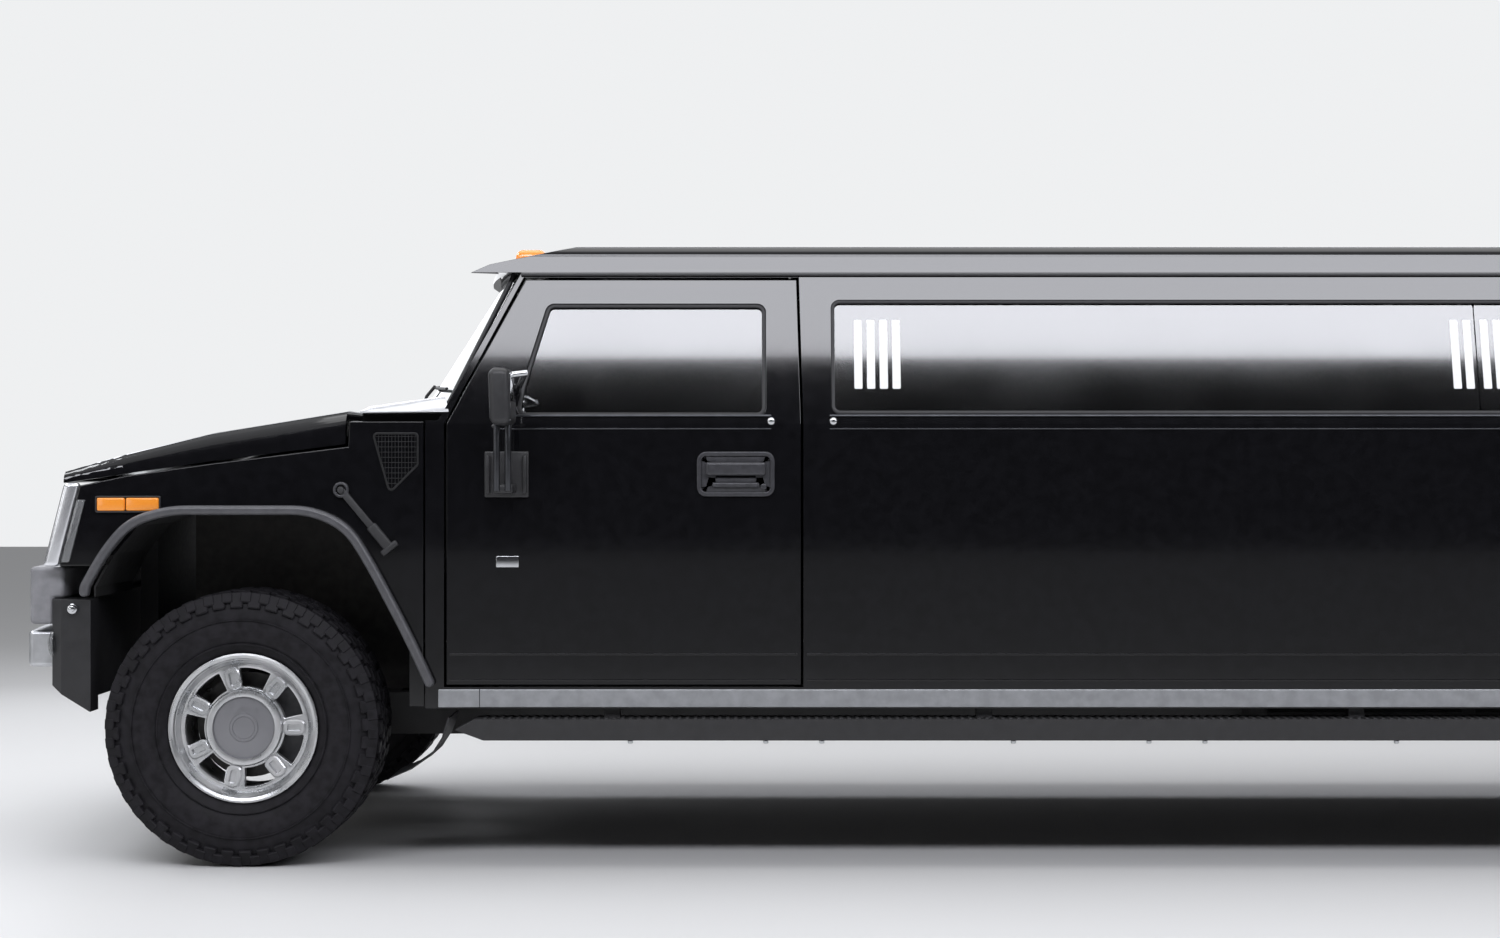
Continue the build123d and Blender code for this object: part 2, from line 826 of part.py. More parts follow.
# Roof lamps: five amber marker lamps across the brow
lamp_places = (-700, -190, 0, 190, 700)
with BuildPart() as roof_lamps:
    for y in lamp_places:
        bow = 60 * (y / 700) ** 2
        x = roof_front_x + 120 + bow
        with Locations((x, y, 1925)):
            Box(110, 70, 50, align=(Align.CENTER, Align.CENTER, Align.MIN))
    fillet(roof_lamps.edges().filter_by(Axis.Z), 20)
lamp_blocks = roof_lamps
with BuildPart() as roof_lamps:
    add(lamp_blocks.part)
    add(roof.part, mode=Mode.SUBTRACT)
    with Locations((roof_front_x, 0, gutter_z - 60)):
        Box(3000, 2400, 80, align=(Align.CENTER, Align.CENTER, Align.MIN), mode=Mode.SUBTRACT)
keep(roof_lamps, "roof_lamps")

# Mirrors on two struts with a base on each front door
for side, side_name in sides:
    with BuildPart() as mirror:
        with Locations((front_axle_x + 836, side * (body_half_width + 10), 1240)):
            Box(150, 20, 150)
        with Locations((front_axle_x + 836, side * (body_half_width + 75), 1195)):
            Box(70, 130, 40)
        with Locations(*[(front_axle_x + along, side * (body_half_width + 140), 1305) for along in (817, 852)]):
            Cylinder(11, 220)
        with Locations((front_axle_x + 836, side * (body_half_width + 165), 1480)):
            Box(72, 190, 176)
    keep(mirror, f"mirror_{side_name}")

# Ladder frame with a kick-up over the rear axle
rail_top_z = sill_bottom_z
rail_low_z = rail_top_z - rail_height
tower_length = 180
tower_height = 220
tower_bracket_reach = 220
tower_bracket_length = 120
tower_bracket_thickness = 20
kick_overlap = 80
with BuildPart() as frame_rails:
    for side, side_name in sides:
        with BuildSketch(Plane.XZ.offset(-side * rail_inner_y)):
            Polygon(
                (rail_front_x, rail_low_z),
                (kick_start_x + kick_overlap, rail_low_z),
                (kick_end_x + kick_overlap, rail_low_z + kick_rise),
                (rail_rear_x, rail_low_z + kick_rise),
                (rail_rear_x, rail_top_z + kick_rise),
                (kick_end_x, rail_top_z + kick_rise),
                (kick_start_x, rail_top_z),
                (rail_front_x, rail_top_z),
            )
        extrude(amount=-side * rail_width)
        with Locations((front_axle_x, side * (rail_inner_y + rail_width / 2), rail_top_z)):
            Box(tower_length, rail_width, tower_height, align=(Align.CENTER, Align.CENTER, Align.MIN))
        with Locations(
            (
                front_axle_x,
                side * (rail_inner_y + tower_bracket_reach / 2),
                rail_top_z + tower_height - tower_bracket_thickness,
            )
        ):
            Box(
                tower_bracket_length,
                tower_bracket_reach,
                tower_bracket_thickness,
                align=(Align.CENTER, Align.CENTER, Align.MIN),
            )

# Crossmembers between the rails, each a pressed box welded at both ends; the last one carries the drawbar
crossmember_span = 1200
crossmember_places = (
    rail_front_x + 90,
    front_axle_x - 180,
    front_axle_x + 370,
    *[front_axle_x + 1130 + crossmember_span * step for step in range(5)],
    kick_start_x - 200,
)
rear_crossmember_places = (rear_axle_x + 330, rail_rear_x - 60)
drawbar_low_z = rail_top_z - drawbar_thickness
drawbar_root = 100
drawbar_post = 80
with BuildPart() as crossmembers:
    with Locations(
        *[(x, 0, rail_top_z) for x in crossmember_places],
        *[(x, 0, rail_top_z + kick_rise) for x in rear_crossmember_places],
    ):
        Box(
            crossmember_length,
            2 * (rail_inner_y - seat_gap),
            crossmember_height,
            align=(Align.CENTER, Align.CENTER, Align.MAX),
        )
    with Locations((rail_rear_x - drawbar_root, 0, drawbar_low_z)):
        Box(
            drawbar_reach + drawbar_root,
            drawbar_width,
            drawbar_thickness,
            align=(Align.MIN, Align.CENTER, Align.MIN),
        )
        Box(
            drawbar_post,
            drawbar_width,
            rail_top_z + kick_rise - drawbar_low_z,
            align=(Align.MIN, Align.CENTER, Align.MIN),
        )
    with Locations((rail_rear_x + drawbar_reach - drawbar_width / 2, 0, drawbar_low_z + drawbar_thickness)):
        Hole(drawbar_eye_radius)
with BuildPart() as chassis_frame:
    add(frame_rails.part)
    add(crossmembers.part)
keep(chassis_frame, "chassis_frame")

# Floor, stepped up over the rear axle, open over the rear tyres
rear_floor_z = rail_top_z + kick_rise
with BuildPart() as floor_pan:
    with BuildSketch(Plane.XZ):
        Polygon(
            (floor_front_x, sill_bottom_z),
            (kick_start_x, sill_bottom_z),
            (kick_end_x, rear_floor_z),
            (rear_frame_x - 16, rear_floor_z),
            (rear_frame_x - 16, rear_floor_z + floor_thickness),
            (kick_end_x - 30, rear_floor_z + floor_thickness),
            (kick_start_x - 30, sill_bottom_z + floor_thickness),
            (floor_front_x, sill_bottom_z + floor_thickness),
        )
    extrude(amount=cabin_half_width - seat_gap, both=True)
    with Locations(*[(rear_axle_x, side * 1000, 400) for side, name in sides]):
        Box(
            2 * 670,
            2 * (1000 - liner_rear_y + 5),
            700,
            align=(Align.CENTER, Align.CENTER, Align.MIN),
            mode=Mode.SUBTRACT,
        )
keep(floor_pan, "floor_pan")

# Front suspension: wishbones held on the frame, with kingpin eyes
with BuildPart() as front_suspension:
    for side, side_name in sides:
        with BuildPart() as corner_set:
            with BuildSketch(Plane.XY.offset(arm_low_z)):
                Polygon(
                    (front_axle_x - 150, side * rail_inner_y),
                    (front_axle_x + 150, side * rail_inner_y),
                    (front_axle_x + 40, side * (kingpin_y + 35)),
                    (front_axle_x - 40, side * (kingpin_y + 35)),
                )
                with Locations((front_axle_x, side * kingpin_y)):
                    Circle(pin_radius + running_clearance, mode=Mode.SUBTRACT)
            extrude(amount=arm_low_thickness)
            with Locations((front_axle_x, side * (rail_inner_y + rail_width / 2), arm_low_z + arm_low_thickness)):
                Box(
                    240,
                    rail_width,
                    rail_low_z - arm_low_z - arm_low_thickness,
                    align=(Align.CENTER, Align.CENTER, Align.MIN),
                )
            with Locations((front_axle_x, side * 560, arm_low_z + arm_low_thickness)):
                Cylinder(
                    28,
                    rail_top_z + 200 - arm_low_z - arm_low_thickness,
                    align=(Align.CENTER, Align.CENTER, Align.MIN),
                )
            with BuildSketch(Plane.XY.offset(arm_top_z)):
                Polygon(
                    (front_axle_x - 85, side * rail_outer_y),
                    (front_axle_x + 85, side * rail_outer_y),
                    (front_axle_x + 30, side * (kingpin_y + 32)),
                    (front_axle_x - 30, side * (kingpin_y + 32)),
                )
                with Locations((front_axle_x, side * kingpin_y)):
                    Circle(pin_radius + running_clearance, mode=Mode.SUBTRACT)
            extrude(amount=arm_top_thickness)
        add(corner_set.part)
keep(front_suspension, "front_suspension")

# Steering knuckles with kingpins and spindles
hub_inner_t = -20
spindle_end_y = track_half + 45
for side, side_name in sides:
    with BuildPart() as knuckle:
        low = arm_low_z + arm_low_thickness + seat_gap
        high = arm_top_z - seat_gap
        with Locations((front_axle_x, side * kingpin_y, low)):
            Box(70, 44, high - low, align=(Align.CENTER, Align.CENTER, Align.MIN))
        with Locations((front_axle_x, side * kingpin_y, arm_low_z)):
            Cylinder(
                pin_radius,
                arm_top_z + arm_top_thickness - arm_low_z,
                align=(Align.CENTER, Align.CENTER, Align.MIN),
            )
        with BuildSketch(Plane(origin=(front_axle_x, side * kingpin_y, hub_z), x_dir=(1, 0, 0), z_dir=(0, side, 0))):
            Circle(spindle_radius)
        extrude(amount=spindle_end_y - kingpin_y)
    keep(knuckle, f"knuckle_{side_name}")

# Rear axle with its springs, links and spindles
with BuildPart() as rear_axle:
    with BuildSketch(Plane(origin=(rear_axle_x, 0, hub_z), x_dir=(1, 0, 0), z_dir=(0, 1, 0))):
        Circle(45)
    extrude(amount=track_half - 45, both=True)
    with BuildSketch(Plane(origin=(rear_axle_x, 0, hub_z), x_dir=(1, 0, 0), z_dir=(0, 1, 0))):
        Circle(spindle_radius)
    extrude(amount=spindle_end_y, both=True)
    with Locations((rear_axle_x, 0, hub_z)):
        Sphere(145)
    for side, side_name in sides:
        with Locations((rear_axle_x, side * (rail_inner_y + rail_width / 2), hub_z)):
            Cylinder(55, rail_low_z + kick_rise - hub_z, align=(Align.CENTER, Align.CENTER, Align.MIN))
        with Locations((kick_start_x - 60, side * 345, hub_z)):
            Box(rear_axle_x - kick_start_x + 60, 40, 40, align=(Align.MIN, Align.CENTER, Align.CENTER))
            Box(60, rail_inner_y - 325, 60, align=(Align.MIN, Align.CENTER, Align.CENTER))
        with Locations((kick_start_x - 60, side * (rail_inner_y - 8), hub_z)):
            Box(60, 16, 60, align=(Align.MIN, Align.CENTER, Align.CENTER))
keep(rear_axle, "rear_axle")

# Engine, radiator, gearbox with propeller shaft, exhaust and tank
with BuildPart() as engine:
    with Locations((front_axle_x - 310, 0, rail_top_z)):
        Box(750, 580, 600, align=(Align.MIN, Align.CENTER, Align.MIN))
keep(engine, "engine")

with BuildPart() as radiator:
    with Locations((rail_front_x + 90, 0, rail_top_z)):
        Box(60, 820, 620, align=(Align.CENTER, Align.CENTER, Align.MIN))
keep(radiator, "radiator")

gearbox_x = front_axle_x + 440
shaft_z = 390
with BuildPart() as driveline:
    with Locations((gearbox_x, 0, 350)):
        Box(620, 300, rail_top_z - 350, align=(Align.MIN, Align.CENTER, Align.MIN))
    with BuildSketch(Plane.YZ.offset(gearbox_x + 600)):
        with Locations((0, shaft_z)):
            Circle(38)
    extrude(amount=rear_axle_x - 148 - gearbox_x - 600)
    with Locations(*[(x, 0, shaft_z) for x in crossmember_places[4:7]]):
        Box(60, 110, rail_top_z - crossmember_height - shaft_z, align=(Align.CENTER, Align.CENTER, Align.MIN))
keep(driveline, "driveline")

exhaust_y = 250
exhaust_z = 395
with BuildPart() as exhaust:
    with BuildLine():
        FilletPolyline(
            (gearbox_x + 60, exhaust_y, exhaust_z),
            (kick_start_x - 300, exhaust_y, exhaust_z),
            (kick_start_x - 180, exhaust_y + 60, exhaust_z - 75),
            (kick_start_x - 120, 960, exhaust_z - 75),
            radius=(90, 40),
        )
    with BuildSketch(Plane.YZ.offset(gearbox_x + 60)):
        with Locations((exhaust_y, exhaust_z)):
            RegularPolygon(28, 8)
    sweep()
    with Locations((kick_start_x - 1000, exhaust_y, exhaust_z)):
        Box(640, 210, 80, align=(Align.MIN, Align.CENTER, Align.CENTER))
    with Locations(*[(x, exhaust_y, exhaust_z) for x in crossmember_places[3:7]]):
        Box(30, 30, rail_top_z - crossmember_height - exhaust_z, align=(Align.CENTER, Align.CENTER, Align.MIN))
keep(exhaust, "exhaust")

with BuildPart() as fuel_tank:
    with Locations((-900, -rail_outer_y, sill_bottom_z)):
        Box(1300, 400, 112, align=(Align.MIN, Align.MAX, Align.MAX))
    fillet(fuel_tank.edges().filter_by(Axis.X), 30)
keep(fuel_tank, "fuel_tank")

# Dashboard with steering column
wheel_centre = (front_axle_x + 985, -400, 1150)
column_axis = (cos(radians(25)), 0, sin(radians(25)))
with BuildPart() as dashboard:
    with BuildSketch(Plane.XZ.offset(-trim_half_width)):
        Polygon(
            (floor_front_x, 930), (floor_front_x + 250, 900), (floor_front_x + 310, 1240), (floor_front_x, 1385)
        )
    extrude(amount=2 * trim_half_width)
    column_start = tuple(c - 330 * a for c, a in zip(wheel_centre, column_axis))
    with BuildSketch(Plane(origin=column_start, x_dir=(0, 1, 0), z_dir=column_axis)):
        Circle(26)
    extrude(amount=330 - 20 - seat_gap)
    fillet(dashboard.edges().filter_by(Axis.Y).sort_by(Axis.Z)[-1:], 8)
keep(dashboard, "dashboard")

with BuildPart() as steering_wheel:
    wheel_plane = Plane(origin=wheel_centre, x_dir=(0, 1, 0), z_dir=column_axis)
    with BuildSketch(wheel_plane.offset(-20)):
        Circle(48)
    extrude(amount=34)
    with BuildSketch(wheel_plane.offset(-10)):
        Circle(196)
        Circle(172, mode=Mode.SUBTRACT)
        Rectangle(360, 26)
        with Locations((0, -90)):
            Rectangle(26, 180)
    extrude(amount=22)
keep(steering_wheel, "steering_wheel")

# Front seats, saloon seats, partition and bar
cabin_floor_z = sill_bottom_z + floor_thickness
with BuildPart() as front_seats:
    for side, side_name in sides:
        with BuildSketch(Plane.XZ.offset(-side * 180)):
            Polygon(
                (front_axle_x + 1170, cabin_floor_z),
                (front_axle_x + 1640, cabin_floor_z),
                (front_axle_x + 1800, 1620),
                (front_axle_x + 1690, 1630),
                (front_axle_x + 1560, 1010),
                (front_axle_x + 1080, 1040),
                (front_axle_x + 1080, 930),
                (front_axle_x + 1170, 900),
            )
        extrude(amount=-side * 500)
keep(front_seats, "front_seats")

partition_x = front_axle_x + 1890
with BuildPart() as partition:
    with BuildSketch(Plane.YZ.offset(partition_x)):
        Polygon(
            (-trim_half_width, cabin_floor_z),
            (trim_half_width, cabin_floor_z),
            (trim_half_width, 1250),
            (-trim_half_width, 1250),
        )
    extrude(amount=40)
keep(partition, "partition")

bench_front_x = partition_x + 90
bench_rear_x = rear_door_front_x - 60
with BuildPart() as lounge_seats:
    with BuildSketch(Plane.YZ.offset(bench_front_x)):
        Polygon(
            (-trim_half_width, cabin_floor_z),
            (480 - trim_half_width, cabin_floor_z),
            (500 - trim_half_width, 900),
            (500 - trim_half_width, 980),
            (140 - trim_half_width, 960),
            (70 - trim_half_width, 1380),
            (-trim_half_width, 1380),
        )
    extrude(amount=bench_rear_x - bench_front_x)
    with BuildSketch(Plane.XZ.offset(600)):
        bench_z = rear_floor_z + floor_thickness
        Polygon(
            (rear_axle_x + 60, bench_z),
            (rear_axle_x + 640, bench_z),
            (rear_axle_x + 720, 1420),
            (rear_axle_x + 620, 1420),
            (rear_axle_x + 520, 1120),
            (rear_axle_x + 40, 1140),
        )
    extrude(amount=-1200)
keep(lounge_seats, "lounge_seats")

with BuildPart() as bar:
    with Locations(((bench_front_x + bench_rear_x) / 2, trim_half_width - 160, cabin_floor_z)):
        Box(bench_rear_x - bench_front_x - 600, 320, 480, align=(Align.CENTER, Align.CENTER, Align.MIN))
keep(bar, "bar")

# Rims and tyres
rim_places = (
    ("front_left", front_axle_x, left),
    ("front_right", front_axle_x, right),
    ("rear_left", rear_axle_x, left),
    ("rear_right", rear_axle_x, right),
)
disc_inner_t = 45
disc_outer_t = 80
window_inner_r = 126
window_outer_r = 188
window_half_angle = 12.5
first_spoke_angle = 103
first_window_angle = first_spoke_angle - 180 / spoke_count


def spin_profile(axle_x, side, points):
    """Turn a (distance outwards from the tyre's centre, radius) profile about the wheel's axle."""
    with BuildPart() as turned:
        with BuildSketch(Plane.YZ.offset(axle_x)):
            Polygon(*[(side * (track_half + t), hub_z + r) for t, r in points])
        revolve(axis=Axis((axle_x, 0, hub_z), (0, 1, 0)))
    return turned


half_rim = rim_width / 2
rim_profile = (
    (-half_rim, rim_radius - rim_barrel),
    (disc_inner_t, rim_radius - rim_barrel),
    (disc_inner_t, 90),
    (hub_inner_t, 75),
    (hub_inner_t, spindle_radius + running_clearance),
    (spindle_end_y - track_half + 3, spindle_radius + running_clearance),
    (spindle_end_y - track_half + 3, 0.0),
    (100, 0.0),
    (100, 105),
    (92, 118),
    (disc_outer_t, 122),
    (disc_outer_t, rim_radius - rim_barrel),
    (half_rim + 8, rim_radius - rim_barrel),
    (half_rim + 8, rim_radius + 12),
    (half_rim, rim_radius + 12),
    (half_rim, rim_radius),
    (-half_rim, rim_radius),
    (-half_rim, rim_radius + 12),
    (-half_rim - 8, rim_radius + 12),
    (-half_rim - 8, rim_radius - rim_barrel),
)
for name, axle_x, side in rim_places:
    rim = spin_profile(axle_x, side, rim_profile)
    with rim:
        face_plane = Plane(
            origin=(axle_x, side * (track_half + disc_inner_t - 5), hub_z), x_dir=(-side, 0, 0), z_dir=(0, side, 0)
        )
        with BuildSketch(face_plane) as spoke_windows:
            with PolarLocations(0, spoke_count, start_angle=first_window_angle):
                inner_rise = window_inner_r * sin(radians(window_half_angle))
                outer_rise = window_outer_r * sin(radians(window_half_angle))
                Polygon(
                    (window_inner_r, -inner_rise),
                    (window_outer_r, -outer_rise),
                    (window_outer_r, outer_rise),
                    (window_inner_r, inner_rise),
                )
        extrude(spoke_windows.sketch, amount=disc_outer_t - disc_inner_t + 10, mode=Mode.SUBTRACT)
    keep(rim, f"rim_{name}")

# Tyres: flat-sided, so that they stay light, with a flat on the ground and a groove between each two
# shoulder lugs. t is the distance outwards from the tyre's middle, r the radius of the flats.
bead = half_rim - seat_gap
half_tyre = tyre_width / 2
tyre_flats = 36
flat_angle = 360 / tyre_flats
lug_groove_width = 30
lug_groove_depth = 14
lug_start_t = 78
# Columns: r, t, from the bore out to the tread's edge
tyre_points = (
    (rim_radius + seat_gap, bead),
    (rim_radius + 20, bead),
    (rim_radius + 110, half_tyre),
    (tyre_radius - 60, half_tyre - 4),
    (tyre_radius, half_tyre - 42),
)
groove_points = (
    (tyre_radius + 20, lug_start_t),
    (tyre_radius - lug_groove_depth, lug_start_t),
    (tyre_radius - 60, half_tyre - 12),
    (tyre_radius - 60, half_tyre + 20),
    (tyre_radius + 20, half_tyre + 20),
)
with BuildPart() as tyre_pair:
    for turn, groove_side in ((0, right), (flat_angle, left)):
        with BuildPart() as flat:
            with BuildSketch(Plane.XZ.offset(-2 * lug_groove_width)):
                Polygon(*tyre_points, *[(r, -t) for r, t in reversed(tyre_points)])
            extrude(amount=4 * lug_groove_width)
            with BuildSketch(Plane.XY.offset(-tyre_width)):
                reach = tyre_radius + 40
                half_reach = reach * tan(radians(flat_angle / 2))
                Polygon((0, 0), (reach, -half_reach), (reach, half_reach))
            extrude(amount=2 * tyre_width, mode=Mode.INTERSECT)
            with BuildSketch(Plane.XZ.offset(-lug_groove_width / 2)):
                Polygon(*[(r, groove_side * t) for r, t in groove_points])
            extrude(amount=lug_groove_width, mode=Mode.SUBTRACT)
        add(flat.part, rotation=(0, 0, turn))
with BuildPart() as tyre:
    with PolarLocations(0, tyre_flats // 2):
        add(tyre_pair.part)

for name, axle_x, side in rim_places:
    hub_plane = Plane(origin=(axle_x, side * track_half, hub_z), x_dir=(1, 0, 0), z_dir=(0, side, 0))
    with BuildPart() as placed_tyre:
        with Locations(hub_plane):
            add(tyre.part)
    keep(placed_tyre, f"tyre_{name}")
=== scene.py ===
import math

import bmesh
import bpy
from mathutils import Matrix, Vector


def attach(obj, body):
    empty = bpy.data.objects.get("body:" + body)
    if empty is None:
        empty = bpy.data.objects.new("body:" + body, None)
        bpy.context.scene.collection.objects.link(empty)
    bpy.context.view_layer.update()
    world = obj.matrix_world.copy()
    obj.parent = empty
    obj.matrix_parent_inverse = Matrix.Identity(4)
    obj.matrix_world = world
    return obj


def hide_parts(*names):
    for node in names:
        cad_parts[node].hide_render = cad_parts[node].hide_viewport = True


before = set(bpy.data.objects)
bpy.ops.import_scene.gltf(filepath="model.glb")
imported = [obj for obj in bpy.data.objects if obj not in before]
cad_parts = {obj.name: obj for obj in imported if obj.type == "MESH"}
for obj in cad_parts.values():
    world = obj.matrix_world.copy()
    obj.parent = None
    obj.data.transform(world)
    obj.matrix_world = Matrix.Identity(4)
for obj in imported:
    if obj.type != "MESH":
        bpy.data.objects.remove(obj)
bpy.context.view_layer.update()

# The studio: a pale floor, a white backdrop and softboxes, the long ones beside the car so high that only
# its leaning glass and pillars mirror them. The camera looks straight at the left side, as in the photograph.
picture_width = 1500
metres_per_pixel = 0.00315
near_side_y = -1.02
camera_distance = 7.5
camera_x = -2.565
camera_z = 1.257
sensor_width = 36.0

camera_data = bpy.data.cameras.new("side_camera")
camera = bpy.data.objects.new("side_camera", camera_data)
bpy.context.scene.collection.objects.link(camera)
camera.location = (camera_x, near_side_y - camera_distance, camera_z)
camera.rotation_euler = (math.radians(90), 0, 0)
camera_data.sensor_width = sensor_width
camera_data.lens = sensor_width * camera_distance / (picture_width * metres_per_pixel)
camera_data.clip_end = 200
bpy.context.scene.camera = camera
bpy.context.scene.view_settings.view_transform = "Standard"


def area_light(name, location, target, size_x, size_y, radiance, colour):
    """A rectangular softbox whose surface shines at the given radiance."""
    data = bpy.data.lights.new(name, "AREA")
    data.shape = "RECTANGLE"
    data.size = size_x
    data.size_y = size_y
    data.energy = radiance * math.pi * size_x * size_y
    data.color = colour
    lamp = bpy.data.objects.new(name, data)
    bpy.context.scene.collection.objects.link(lamp)
    lamp.location = location
    direction = Vector(target) - Vector(location)
    lamp.rotation_euler = direction.to_track_quat("-Z", "Y").to_euler()
    return lamp


# Reflections in the leaning glass rise at about 30 degrees, so the softbox's lower edge sits on that line.
white, cool_white = (1.0, 1.0, 1.0), (0.95, 0.97, 1.0)
softbox_y = -6.0
softbox_low_z = 4.61
softbox_height = 1.15
for side in (-1, 1):
    middle_z = softbox_low_z + softbox_height / 2
    area_light(
        "side_softbox",
        (0.0, -side * softbox_y, middle_z),
        (0.0, 0.0, middle_z - 3.0),
        16.0,
        softbox_height,
        10.0 if side < 0 else 5.0,
        (0.93, 0.94, 1.0),
    )
area_light("overhead_softbox", (0.0, 0.0, 7.0), (0.0, 0.0, 0.0), 12.0, 5.0, 1.6, white)
area_light("front_softbox", (-12.0, -3.0, 3.5), (-4.5, 0.0, 1.0), 5.0, 3.0, 1.5, white)
area_light("corner_softbox", (-8.6, -6.4, 1.8), (-4.8, -1.0, 1.1), 2.6, 2.2, 1.6, white)
area_light("pillar_softbox", (-7.9, 0.0, 5.4), (-3.6, -0.6, 1.65), 2.4, 2.0, 9.0, cool_white)
glass_softbox = area_light("glass_softbox", (-6.2, 5.0, 2.9), (-3.6, -0.9, 1.65), 4.2, 2.4, 1.5, cool_white)
glass_softbox.visible_camera = False

world = bpy.data.worlds.new("studio")
bpy.context.scene.world = world
world.use_nodes = True
nodes, links = world.node_tree.nodes, world.node_tree.links
nodes.clear()
output = nodes.new("ShaderNodeOutputWorld")
shown = nodes.new("ShaderNodeBackground")
shown.inputs["Color"].default_value = (0.86, 0.87, 0.88, 1)
fill = nodes.new("ShaderNodeBackground")
fill.inputs["Strength"].default_value = 1.0
place = nodes.new("ShaderNodeTexCoord")
split = nodes.new("ShaderNodeSeparateXYZ")
ramp = nodes.new("ShaderNodeValToRGB")
ramp.color_ramp.elements[0].position = 0.76
ramp.color_ramp.elements[0].color = (0.03, 0.03, 0.033, 1)
ramp.color_ramp.elements[1].position = 0.92
ramp.color_ramp.elements[1].color = (0.75, 0.76, 0.78, 1)
scale = nodes.new("ShaderNodeMath")
scale.operation = "MULTIPLY_ADD"
scale.inputs[1].default_value = 0.5
scale.inputs[2].default_value = 0.5
paths = nodes.new("ShaderNodeLightPath")
mix = nodes.new("ShaderNodeMixShader")
links.new(place.outputs["Generated"], split.inputs[0])
links.new(split.outputs["Z"], scale.inputs[0])
links.new(scale.outputs[0], ramp.inputs[0])
links.new(ramp.outputs["Color"], fill.inputs["Color"])
links.new(paths.outputs["Is Camera Ray"], mix.inputs[0])
links.new(fill.outputs[0], mix.inputs[1])
links.new(shown.outputs[0], mix.inputs[2])
links.new(mix.outputs[0], output.inputs["Surface"])


def new_material(name, colour, roughness, metallic=0.0, extras=None):
    """A Principled material with its colour, roughness and metallic set, and any extra sockets."""
    material = bpy.data.materials.new(name)
    material.use_nodes = True
    shader = material.node_tree.nodes["Principled BSDF"]
    values = {"Base Color": (*colour, 1), "Roughness": roughness, "Metallic": metallic}
    values.update(extras or {})
    for socket, value in values.items():
        shader.inputs[socket].default_value = value
    return material, shader


floor_size = 60.0
bpy.ops.object.select_all(action="DESELECT")
bpy.ops.mesh.primitive_plane_add(size=floor_size, location=(0, 0, 0))
floor = bpy.context.object
floor.name = "studio_floor"
floor.data.materials.append(new_material("studio_floor", (0.62, 0.62, 0.62), 0.55)[0])

# Tyres: black all-terrain rubber, 873 mm across and 315 mm wide. The carcass is moulded in one piece, and
# its tread is blocks with deep grooves between them and lugs that wrap over the shoulder.
tyre_radius = 0.4365
tread_depth = 0.013
carcass_radius = tyre_radius - tread_depth
tyre_pitches = 44
hub_height = tyre_radius
# Columns: distance from the tyre's middle, radius, from the bead up to the tread
carcass_half = (
    (0.1077, 0.2165),
    (0.1077, 0.236),
    (0.1280, 0.254),
    (0.1490, 0.288),
    (0.1560, 0.325),
    (0.1520, 0.365),
    (0.1440, 0.398),
    (0.1340, 0.414),
    (0.1180, carcass_radius),
)
carcass_section = [(-across, radius) for across, radius in carcass_half]
carcass_section.append((0.0, carcass_radius + 0.001))
carcass_section += reversed(carcass_half)


def clear_selection():
    """Nothing stays selected, and the scene is in object mode."""
    if bpy.context.object and bpy.context.object.mode != "OBJECT":
        bpy.ops.object.mode_set(mode="OBJECT")
    bpy.ops.object.select_all(action="DESELECT")


def picked(piece):
    """Only this piece is selected, and it is the active one."""
    clear_selection()
    piece.select_set(True)
    bpy.context.view_layer.objects.active = piece


def spun_piece(name, section, steps, closed=True):
    """A closed section of (distance along the axle, radius) points, spun about the Y axis."""
    clear_selection()
    bpy.ops.mesh.primitive_circle_add(vertices=len(section), radius=1, location=(0, 0, 0))
    piece = bpy.context.object
    piece.name = name
    for vertex, (along, radius) in zip(piece.data.vertices, section):
        vertex.co = (0, along, radius)
    bpy.ops.object.mode_set(mode="EDIT")
    bpy.ops.mesh.select_all(action="SELECT")
    if not closed:
        bpy.ops.mesh.select_all(action="DESELECT")
        edit = bmesh.from_edit_mesh(piece.data)
        edit.verts.ensure_lookup_table()
        last = {edit.verts[0], edit.verts[len(section) - 1]}
        bmesh.ops.delete(edit, geom=[e for e in edit.edges if set(e.verts) == last], context="EDGES")
        bmesh.update_edit_mesh(piece.data)
        bpy.ops.mesh.select_all(action="SELECT")
    bpy.ops.mesh.spin(steps=steps, angle=math.tau, center=(0, 0, 0), axis=(0, 1, 0))
    bpy.ops.mesh.select_all(action="SELECT")
    bpy.ops.mesh.remove_doubles(threshold=0.00005)
    bpy.ops.mesh.normals_make_consistent(inside=False)
    bpy.ops.object.mode_set(mode="OBJECT")
    return piece


def box_piece(name, size, centre, bevel=0.0, segments=2):
    """A block at its size and place, with its edges rounded."""
    clear_selection()
    bpy.ops.mesh.primitive_cube_add(size=1, location=centre)
    piece = bpy.context.object
    piece.name = name
    piece.scale = size
    bpy.ops.object.transform_apply(location=True, rotation=True, scale=True)
    if bevel:
        bpy.ops.object.mode_set(mode="EDIT")
        bpy.ops.mesh.select_all(action="SELECT")
        bpy.ops.mesh.bevel(offset=bevel, segments=segments, affect="EDGES")
        bpy.ops.object.mode_set(mode="OBJECT")
    return piece


def apply_modifier(piece, kind, **values):
    """Add a modifier with its values and apply it."""
    picked(piece)
    modifier = piece.modifiers.new(kind.lower(), kind)
    for key, value in values.items():
        setattr(modifier, key, value)
    bpy.ops.object.modifier_apply(modifier=modifier.name)


def joined(name, pieces):
    """Several meshes made into one piece."""
    clear_selection()
    for piece in pieces:
        piece.select_set(True)
    bpy.context.view_layer.objects.active = pieces[0]
    bpy.ops.object.join()
    whole = bpy.context.object
    whole.name = name
    return whole


